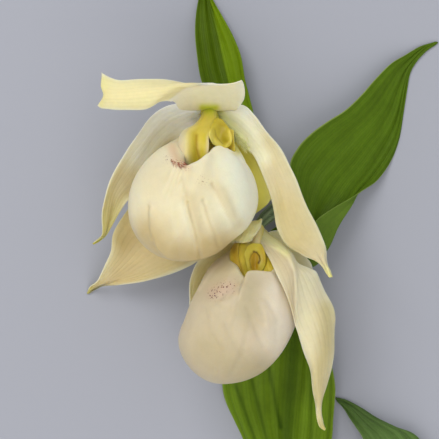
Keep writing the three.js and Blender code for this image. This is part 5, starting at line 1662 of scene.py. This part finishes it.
# Painted light on the half of the folded bract that faces the light.
BRACT_MARKS: Marks = {"bright": (Stroke(((-3.9, 92.2), (3.7, 58.3), (6, 40)), 14, 0.95, 0.5),)}
PLEAT_MARKS: Marks = {
    # Painted shade along the leaf's fold and in the valleys of its pleats.
    "dark": (
        Stroke(((31.5, -40), (31.5, -46.7), (27.7, -94)), 3.4, 0.7),
        Stroke(((6.8, -69.7), (14.9, -92.2)), 0.9, 0.6),
        Stroke(((13.6, -67.2), (20, -92.2)), 0.9, 0.6),
        Stroke(((20.6, -62), (25.8, -87.2)), 0.9, 0.6),
        Stroke(((38, -62), (38.5, -92)), 0.9, 0.4),
    ),
}

OVARY_SKIN = StalkFinish("ovary_skin", tone(0x50623E), tone(0x809268), tone(0xBEC8A0))
STEM_SKIN = StalkFinish("stem_skin", tone(0x627A32), tone(0x829848), tone(0xC4D0A0), ribs=9)
UPPER_DORSAL_SKIN = PetalFinish(
    "upper_dorsal_skin", base=tone(0xFFE4B0), middle=tone(0xF4E2AE), tip=tone(0xEADC9C),
    # Painted light on the shaded hood, the sepal's own green base, and a painted shade line along the fold.
    marks=(("shade", tone(0xFCF0D4)), ("green", tone(0xC8D042)), ("line", tone(0xCEBA82))),
)
UPPER_SYNSEPAL_SKIN = PetalFinish(
    "upper_synsepal_skin", base=tone(0xC4BA68), middle=tone(0xD6C292), tip=tone(0xB8B062), veins=13,
    vein_strength=0.22,
    # Painted light on the lit margin, painted olive shade beside the pouch, and painted shade at the upper left.
    marks=(("pale", tone(0xF8E6BA)), ("olive_shade", tone(0xECDC6C)), ("shade", tone(0xBAA870))),
)
# A near-white base, partly the petal's own colour and partly painted light where the hood shades it, and painted
# light on its upper part.
UPPER_LEFT_SKIN = PetalFinish(
    "upper_left_skin", base=tone(0xFFFAF0), middle=tone(0xD8CDAA), tip=tone(0xB2AC44), vein_strength=0.08,
    marks=(("pale", tone(0xF8F6E6)),), turn_low=0.4, turn_high=0.5,
)
# Painted light above, the greenish base lightened as painted light, and painted shade lower down.
UPPER_RIGHT_SKIN = PetalFinish(
    "upper_right_skin", base=tone(0xFFFAE8), middle=tone(0xDBCDA8), tip=tone(0xFFEF8E), vein_strength=0.04,
    marks=(("pale", tone(0xFFF6D6)), ("green", tone(0xF0F0B0)), ("shade", tone(0xD0C08C))),
)
UPPER_POUCH_SKIN = PouchFinish(
    "upper_pouch_skin", body=tone(0xF6EAC8), shade=tone(0xD6C498), rim=tone(0xF6ECCC), lining=tone(0xE2D48C),
    speck=tone(0x8A543E),
    # The first two marks are painted light and painted warm shade; the olive mark is a painted shadow and the
    # groove painted shade along the lobe's crease; the rest are colours of their own.
    marks=(
        ("pale", tone(0xFFFADC)), ("tan_shade", tone(0xD0BC8A)), ("blush", tone(0xE2C4A0)),
        ("fringe", tone(0xA67054)), ("yellow", tone(0xDFCB54)), ("gold", tone(0xD6C430)),
        ("groove", tone(0xB09014)), ("lilac", tone(0xE4CEA4)), ("olive_shade", tone(0xCEC870)),
        ("green", tone(0xC8D03C)),
    ),
)
LOWER_DORSAL_SKIN = PetalFinish(
    "lower_dorsal_skin", base=tone(0xFCF0B4), middle=tone(0xFFF0AE), tip=tone(0xFFF0B2),
    marks=(("green", tone(0xC4C882)),),
)
LOWER_SYNSEPAL_SKIN = PetalFinish(
    "lower_synsepal_skin", base=tone(0xFAF2BE), middle=tone(0xF6E8BA), tip=tone(0xD0C888), veins=13,
)
# Its base is lighter than its middle: partly its own cream and partly painted light where the upper pouch shades
# it.
LOWER_LEFT_SKIN = PetalFinish(
    "lower_left_skin", base=tone(0xFFF8BE), middle=tone(0xF0E2B0), tip=tone(0xD2CC8C),
)
LOWER_RIGHT_SKIN = PetalFinish(
    "lower_right_skin", base=tone(0xE2D4A0), middle=tone(0xF4E4BE), tip=tone(0xE0CC7C), vein_strength=0.04,
    # Besides the band by the fold: a painted highlight, a painted shadow line and painted shade towards the tip.
    marks=(
        ("blush", tone(0xD6C4A2)), ("bright", tone(0xF4EAA8)), ("line", tone(0xA8A054)),
        ("shade", tone(0xC8BC88)),
    ),
)
LOWER_POUCH_SKIN = PouchFinish(
    "lower_pouch_skin", body=tone(0xD4C6A8), shade=tone(0xB8A782), rim=tone(0xE6DCB8), lining=tone(0xDCCC9E),
    speck=tone(0x6E383C),
    # Painted light, painted warm shade and painted grey shade; the pinkish speck patch and the lobes' gold are
    # colours of their own, and the groove is painted shade along the lobe's midrib.
    marks=(
        ("pale", tone(0xF6E6CE)), ("tan_shade", tone(0xC2B48E)), ("grey_shade", tone(0xC0B492)), ("blush", tone(0xCCAC98)),
        ("gold", tone(0xD6C03C)), ("groove", tone(0xB08E24)),
    ),
)
COLUMN_SKIN = ColumnFinish(
    "column_skin", body=tone(0xD8CA4C), shade=tone(0xC2B030),
    # Painted shade in hollows, grooves and creases, and painted highlights on edges; the oval, green and cream are
    # colours of its own.
    marks=(
        ("hollow_shade", tone(0xB09E22)), ("bright", tone(0xF0E276)), ("oval", tone(0xB8940E)),
        ("groove", tone(0x927018)), ("rim", tone(0x543412)), ("green", tone(0xB4BA42)),
        ("cream", tone(0xFFEEB2)),
    ),
)
BRACT_SKIN = LeafFinish(
    "bract_skin", dark=tone(0x4A6200), bright=tone(0x587204), vein=tone(0x3C5402), stripes=8,
    # Painted light on the bract's lit half.
    marks=(("bright", tone(0x708C04)),),
)
RIGHT_LEAF_SKIN = LeafFinish(
    "right_leaf_skin", dark=tone(0x506C10), bright=tone(0x5E7A18), vein=tone(0x425E08), stripes=15,
)
PLEATED_LEAF_SKIN = LeafFinish(
    "pleated_leaf_skin", dark=tone(0x627E12), bright=tone(0x749224), vein=tone(0x4A660A), stripes=10,
    # Painted shade along the fold and the pleats.
    marks=(("dark", tone(0x324C00)),),
)
LOWEST_LEAF_SKIN = LeafFinish(
    "lowest_leaf_skin", dark=tone(0x547036), bright=tone(0x6A8648), vein=tone(0x425E2A),
    margin=tone(0x96A86E), back=tone(0x68824C), stripes=10,
)
STEM_DOWN = Down("stem_hairs", "down", tone(0x789046), tone(0xCED8B0), 4.0e5, 0.0009, 0.00004, 0.5, 3)
OVARY_DOWN = Down("ovary_hairs", "down", tone(0x6E8254), tone(0xC8D2B0), 1.1e6, 0.0011, 0.00004, 0.5, 5)
PETAL_DOWN = Down(
    "petal_hairs", "down", tone(0xE2E496), tone(0xFCFCCD), 1.4e7, 0.0028, 0.00015, 0.5, 7, (0.1, -1.5, 0.3)
)
RIM_TUFTS = Down(
    "rim_tufts", "tuft", tone(0xBA7C60), tone(0x683828), 5.0e6, 0.0026, 0.00018, 0.35, 9, (0.1, -1.6, 0)
)

# --- sub-assemblies


class Slot(Enum):
    """The finishes that the record names."""

    STEM = "stem"
    LEAF = "leaf"
    OVARY = "ovary"
    SEPAL = "sepal"
    PETAL = "petal"
    POUCH = "pouch"
    COLUMN = "column"


def ball_end(centre: Point, towards: Point, radius: float) -> RodStations:
    """Gives the stations that end a rod in a ball round its last point."""
    direction = np.array(towards) / np.linalg.norm(towards)
    stations = []
    for degrees in BALL_ANGLES:
        angle = math.radians(degrees)
        place = np.array(centre) + direction * radius * math.sin(angle)
        stations.append((*place.tolist(), radius * math.cos(angle)))
    return tuple(stations)


@dataclass
class Assembly:
    """A group of pieces that share the shader groups."""

    groups: Groups

    def place(self, name: str, node: str, slot: Slot, skin: Finish, *shapes: Blade | Rod | Pouch) -> Object:
        """Makes one piece of several shapes, dresses it and puts it in the place of its plain node.

        Args:
            name: the piece's name.
            node: the node that it stands for.
            slot: not used.
            skin: its finish.
            shapes: what it is made of.

        Returns:
            The finished piece.
        """
        parts = MeshParts()
        for shape in shapes:
            shape.add_to(parts)
        piece = parts.build(name)
        piece.data.materials.append(skin.material(self.groups))
        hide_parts(node)
        return self.carry(piece, slot)

    def carry(self, piece: Object, slot: Slot) -> Object:
        """Lets a piece ride on the plant, and reports it."""
        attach(piece, "root")
        piece.data.calc_loop_triangles()
        LOG.info("%s: %d triangles", piece.name, len(piece.data.loop_triangles))
        return piece


@dataclass
class Bloom(Assembly):
    """One flower: a downy ovary, two sepals, two petals, a pouch with its lobes and a column with its shield."""

    side: str
    ovary: Rod
    sepals: dict[str, tuple[Blade, PetalFinish]]
    petals: dict[str, tuple[Blade, PetalFinish]]
    pouch: Pouch
    lobes: tuple[Blade, ...]
    pouch_skin: PouchFinish
    column: Rod
    shield: Blade
    hairs: dict[str, Down] = field(default_factory=dict)

    def build(self) -> None:
        """Builds all of the flower's pieces."""
        self.build_ovary()
        self.build_blades(self.sepals, Slot.SEPAL)
        self.build_blades(self.petals, Slot.PETAL)
        self.build_pouch()
        self.build_column()

    def build_ovary(self) -> None:
        """Builds the ribbed ovary, whose round end carries the flower, and its down."""
        node = f"{self.side}_ovary"
        ovary = self.place(f"{node}_ribbed", node, Slot.OVARY, OVARY_SKIN, self.ovary)
        self.carry(replace(OVARY_DOWN, name=f"{node}_hairs").grow(ovary, self.groups), Slot.OVARY)

    def build_blades(self, blades: dict[str, tuple[Blade, PetalFinish]], slot: Slot) -> None:
        """Builds sepals or petals, and the hairs at their bases.

        Args:
            blades: shape and finish by the blade's name.
            slot: not used.
        """
        for name, (blade, skin) in blades.items():
            node = f"{self.side}_{name}"
            piece = self.place(f"{node}_blade", node, slot, skin, blade)
            if name in self.hairs:
                self.carry(self.hairs[name].grow(piece, self.groups), slot)

    def build_pouch(self) -> None:
        """Builds the pouch with its side lobes folded in over the mouth, and the tufts at its rim."""
        node = f"{self.side}_pouch"
        pouch = self.place(f"{node}_bag", node, Slot.POUCH, self.pouch_skin, self.pouch, *self.lobes)
        if "pouch" in self.hairs:
            self.carry(self.hairs["pouch"].grow(pouch, self.groups), Slot.POUCH)

    def build_column(self) -> None:
        """Builds the column and the shield over its end."""
        node = f"{self.side}_column"
        self.place(f"{node}_shield", node, Slot.COLUMN, COLUMN_SKIN, self.column, self.shield)


def upper_bloom(groups: Groups) -> Bloom:
    """Sets out the upper flower, whose dorsal sepal makes a hood over the column."""
    stations = UPPER_OVARY + ball_end(UPPER_KNOB, (-2.1, 1.6, 5.4), KNOB)
    form = BladeForm(ribs=0.05, rib_count=8, ruffle=0.9, ruffle_count=5, uneven=0.3, midrib=0.1, seed=31)
    dorsal = Blade(UPPER_DORSAL_SEPAL, PETAL, 170, 72, form, UPPER_DORSAL_MARKS)
    dorsal.folds = UPPER_DORSAL_FOLDS
    dorsal.pulls = UPPER_DORSAL_PULLS
    form = BladeForm(ribs=0.1, rib_count=13, ruffle=1, ruffle_count=6, uneven=0.5, seed=41)
    synsepal = Blade(UPPER_SYNSEPAL, PETAL, 130, 64, form, UPPER_SYNSEPAL_MARKS)
    form = BladeForm(ribs=0.05, rib_count=8, ruffle=0.7, ruffle_count=6, uneven=0.35, midrib=0.1, seed=51)
    left = Blade(UPPER_LEFT_PETAL, PETAL, 130, 40, form, UPPER_LEFT_MARKS)
    form = BladeForm(ribs=0.02, rib_count=8, ruffle=0.8, ruffle_count=7, uneven=0.4, midrib=0.1, seed=61)
    right = Blade(UPPER_RIGHT_PETAL, PETAL, 150, 44, form, UPPER_RIGHT_MARKS)
    bag = Pouch((-11.1, 6.9, 53), UPPER_POUCH_RADII, 21.5, UPPER_POUCH_MOUTH, UPPER_POUCH_ROLL, PouchForm())
    bag.creases = UPPER_POUCH_CREASES
    bag.folds = UPPER_POUCH_FOLDS
    bag.marks = UPPER_POUCH_MARKS
    form = BladeForm(uneven=0.2, ribs=0.1, rib_count=6, seed=71)
    lobe = Blade(UPPER_LOBE, LOBE, 72, 56, form, UPPER_LOBE_MARKS, creases=UPPER_LOBE_CREASES)
    right_lobe = Blade(UPPER_RIGHT_LOBE, LOBE, 40, 30, marks=UPPER_RIGHT_LOBE_MARKS)
    form = BladeForm(uneven=0.15, seed=81)
    shield = Blade(UPPER_SHIELD, SHIELD, 56, 48, form, UPPER_SHIELD_MARKS, creases=UPPER_SHIELD_CREASES)
    return Bloom(
        groups,
        "upper",
        Rod(stations, ribs=6, rib_height=0.28, twist=1.6, seed=21, marks={"down": EVERYWHERE}),
        {"dorsal_sepal": (dorsal, UPPER_DORSAL_SKIN), "synsepal": (synsepal, UPPER_SYNSEPAL_SKIN)},
        {"left_petal": (left, UPPER_LEFT_SKIN), "right_petal": (right, UPPER_RIGHT_SKIN)},
        bag,
        (lobe, right_lobe),
        UPPER_POUCH_SKIN,
        Rod(UPPER_COLUMN, 60, 40, seed=22, marks=UPPER_COLUMN_MARKS),
        shield,
        {"right_petal": PETAL_DOWN, "pouch": RIM_TUFTS},
    )


def lower_bloom(groups: Groups) -> Bloom:
    """Sets out the lower flower, half hidden by the upper one."""
    stations = LOWER_OVARY + ball_end(LOWER_KNOB, (-3.4, -4.2, 3.4), KNOB)
    form = BladeForm(ribs=0.05, rib_count=8, ruffle=0.5, uneven=0.25, seed=91)
    dorsal = Blade(LOWER_DORSAL_SEPAL, PETAL, 80, 64, form, LOWER_DORSAL_MARKS)
    dorsal.pulls = LOWER_DORSAL_PULLS
    form = BladeForm(ribs=0.08, rib_count=13, ruffle=0.8, ruffle_count=6, uneven=0.4, seed=95)
    synsepal = Blade(LOWER_SYNSEPAL, PETAL, 110, 60, form)
    form = BladeForm(ribs=0.05, rib_count=8, ruffle=0.6, ruffle_count=6, uneven=0.3, seed=101)
    left = Blade(LOWER_LEFT_PETAL, PETAL, 120, 40, form)
    form = BladeForm(ribs=0.02, rib_count=9, ruffle=0.6, ruffle_count=7, uneven=0.3, seed=111)
    right = Blade(LOWER_RIGHT_PETAL, PETAL, 170, 72, form, LOWER_RIGHT_MARKS, LOWER_RIGHT_FOLDS)
    form = PouchForm(folds=0.06, pleats=0.3, seed=9)
    bag = Pouch((6.9, -41.4, 47), LOWER_POUCH_RADII, 21.5, LOWER_POUCH_MOUTH, LOWER_POUCH_ROLL, form)
    bag.creases = LOWER_POUCH_CREASES
    bag.folds = LOWER_POUCH_FOLDS
    bag.marks = LOWER_POUCH_MARKS
    form = BladeForm(midrib=0.4, uneven=0.15, seed=121)
    left_lobe = Blade(LOWER_LEFT_LOBE, LOBE, 56, 40, form, LOWER_LEFT_LOBE_MARKS)
    form = BladeForm(uneven=0.15, seed=125)
    right_lobe = Blade(LOWER_RIGHT_LOBE, LOBE, 56, 36, form, LOWER_RIGHT_LOBE_MARKS)
    form = BladeForm(uneven=0.1, seed=131)
    shield = Blade(LOWER_SHIELD, SHIELD, 56, 56, form, LOWER_SHIELD_MARKS, creases=LOWER_SHIELD_CREASES)
    return Bloom(
        groups,
        "lower",
        Rod(stations, ribs=6, rib_height=0.32, twist=1.2, seed=23, marks={"down": EVERYWHERE}),
        {"dorsal_sepal": (dorsal, LOWER_DORSAL_SKIN), "synsepal": (synsepal, LOWER_SYNSEPAL_SKIN)},
        {"left_petal": (left, LOWER_LEFT_SKIN), "right_petal": (right, LOWER_RIGHT_SKIN)},
        bag,
        (left_lobe, right_lobe),
        LOWER_POUCH_SKIN,
        Rod(LOWER_COLUMN, 60, 40, seed=24, marks=LOWER_COLUMN_MARKS),
        shield,
    )


class Foliage(Assembly):
    """The stem and its four leaves."""

    def build(self) -> None:
        """Builds the stem with its down, and the leaves."""
        rod = Rod(STEM, 260, 48, ribs=9, rib_height=0.12, twist=0.8, seed=25, marks={"down": EVERYWHERE})
        stem = self.place("stem_cut", "stem", Slot.STEM, STEM_SKIN, rod)
        self.carry(STEM_DOWN.grow(stem, self.groups), Slot.STEM)
        form = BladeForm(pleats=0.35, midrib=0.5, ruffle=0.7, uneven=0.3, seed=141)
        self.leaf("upper_bract", Blade(UPPER_BRACT, LEAF, 120, 80, form, BRACT_MARKS), BRACT_SKIN)
        form = BladeForm(pleats=0.3, pleat_count=5, ribs=0.1, rib_count=15, ruffle=0.6, uneven=0.3, seed=151)
        self.leaf("right_leaf", Blade(RIGHT_LEAF, LEAF, 160, 100, form), RIGHT_LEAF_SKIN)
        form = BladeForm(pleats=0.9, pleat_count=5, midrib=0.6, ruffle=0.8, uneven=0.3, seed=161)
        self.leaf("pleated_leaf", Blade(PLEATED_LEAF, LEAF, 150, 110, form, PLEAT_MARKS), PLEATED_LEAF_SKIN)
        form = BladeForm(pleats=0.4, midrib=0.4, ruffle=0.8, uneven=0.3, seed=171)
        self.leaf("lowest_leaf", Blade(LOWEST_LEAF, LEAF, 140, 80, form), LOWEST_LEAF_SKIN)

    def leaf(self, node: str, blade: Blade, skin: LeafFinish) -> None:
        """Dresses one leaf and puts it in place."""
        self.place(f"{node}_blade", node, Slot.LEAF, skin, blade)


@dataclass
class Studio:
    """The camera above the blooms, soft lights and the pale surface that the stem lies on."""

    eye: Point = (-0.0186, 0.0214, 1.045)
    focal_length: float = 195.25
    sensor: float = 36
    floor_size: float = 6
    floor_colour: Colour = tone(0xA8ABB6)
    key_power: float = 8.7
    fill_power: float = 5.7
    air: float = 0.57

    def build(self) -> None:
        """Builds the camera, the floor, the lights and the air's own light."""
        self.build_camera()
        self.build_floor()
        self.add_light("key", (-0.5, 0.75, 1.1), 0.8, self.key_power, (1, 0.985, 0.96))
        self.add_light("fill", (0, -0.9, 1), 1.2, self.fill_power, (1, 0.96, 0.9))
        world = bpy.data.worlds.new("soft_air")
        world.use_nodes = True
        background = world.node_tree.nodes["Background"]
        background.inputs["Color"].default_value = (1, 1, 1, 1)
        background.inputs["Strength"].default_value = self.air
        bpy.context.scene.world = world
        bpy.context.scene.view_settings.view_transform = "Standard"

    def build_camera(self) -> None:
        """Looks straight down on the blooms."""
        camera = bpy.data.cameras.new("view")
        camera.sensor_fit = "HORIZONTAL"
        camera.sensor_width = self.sensor
        camera.lens = self.focal_length
        camera.clip_start = 0.05
        holder = in_scene("view", camera)
        holder.location = self.eye
        bpy.context.scene.camera = holder

    def build_floor(self) -> None:
        """Lays the plain pale surface."""
        half = self.floor_size / 2
        mesh = bpy.data.meshes.new("floor")
        corners = [(-half, -half, 0), (half, -half, 0), (half, half, 0), (-half, half, 0)]
        mesh.from_pydata(corners, [], [(0, 1, 2, 3)])
        floor = in_scene("floor", mesh)
        material = bpy.data.materials.new("pale_floor")
        material.use_nodes = True
        shader = material.node_tree.nodes["Principled BSDF"]
        shader.inputs["Base Color"].default_value = self.floor_colour
        shader.inputs["Roughness"].default_value = 0.9
        mesh.materials.append(material)

    def add_light(self, name: str, place: Point, size: float, power: float, colour: Point) -> None:
        """Hangs one soft square light that faces the blooms.

        Args:
            name: the light's name.
            place: where it hangs, in metres.
            size: its side, in metres.
            power: its power in watts.
            colour: its colour.
        """
        lamp = bpy.data.lights.new(name, "AREA")
        lamp.size = size
        lamp.energy = power
        lamp.color = colour
        holder = in_scene(name, lamp)
        holder.location = place
        way = -np.array(place)
        pitch = math.acos(-way[2] / np.linalg.norm(way))
        holder.rotation_euler = (pitch, 0, math.atan2(way[1], way[0]) - math.pi / 2)


def main() -> None:
    """Builds the stem with its leaves and blooms, and the studio round it."""
    logging.basicConfig(level=logging.INFO, format="%(name)s %(message)s")
    groups = Groups()
    Foliage(groups).build()
    upper_bloom(groups).build()
    lower_bloom(groups).build()
    Studio().build()


if __name__ == "__main__":
    main()
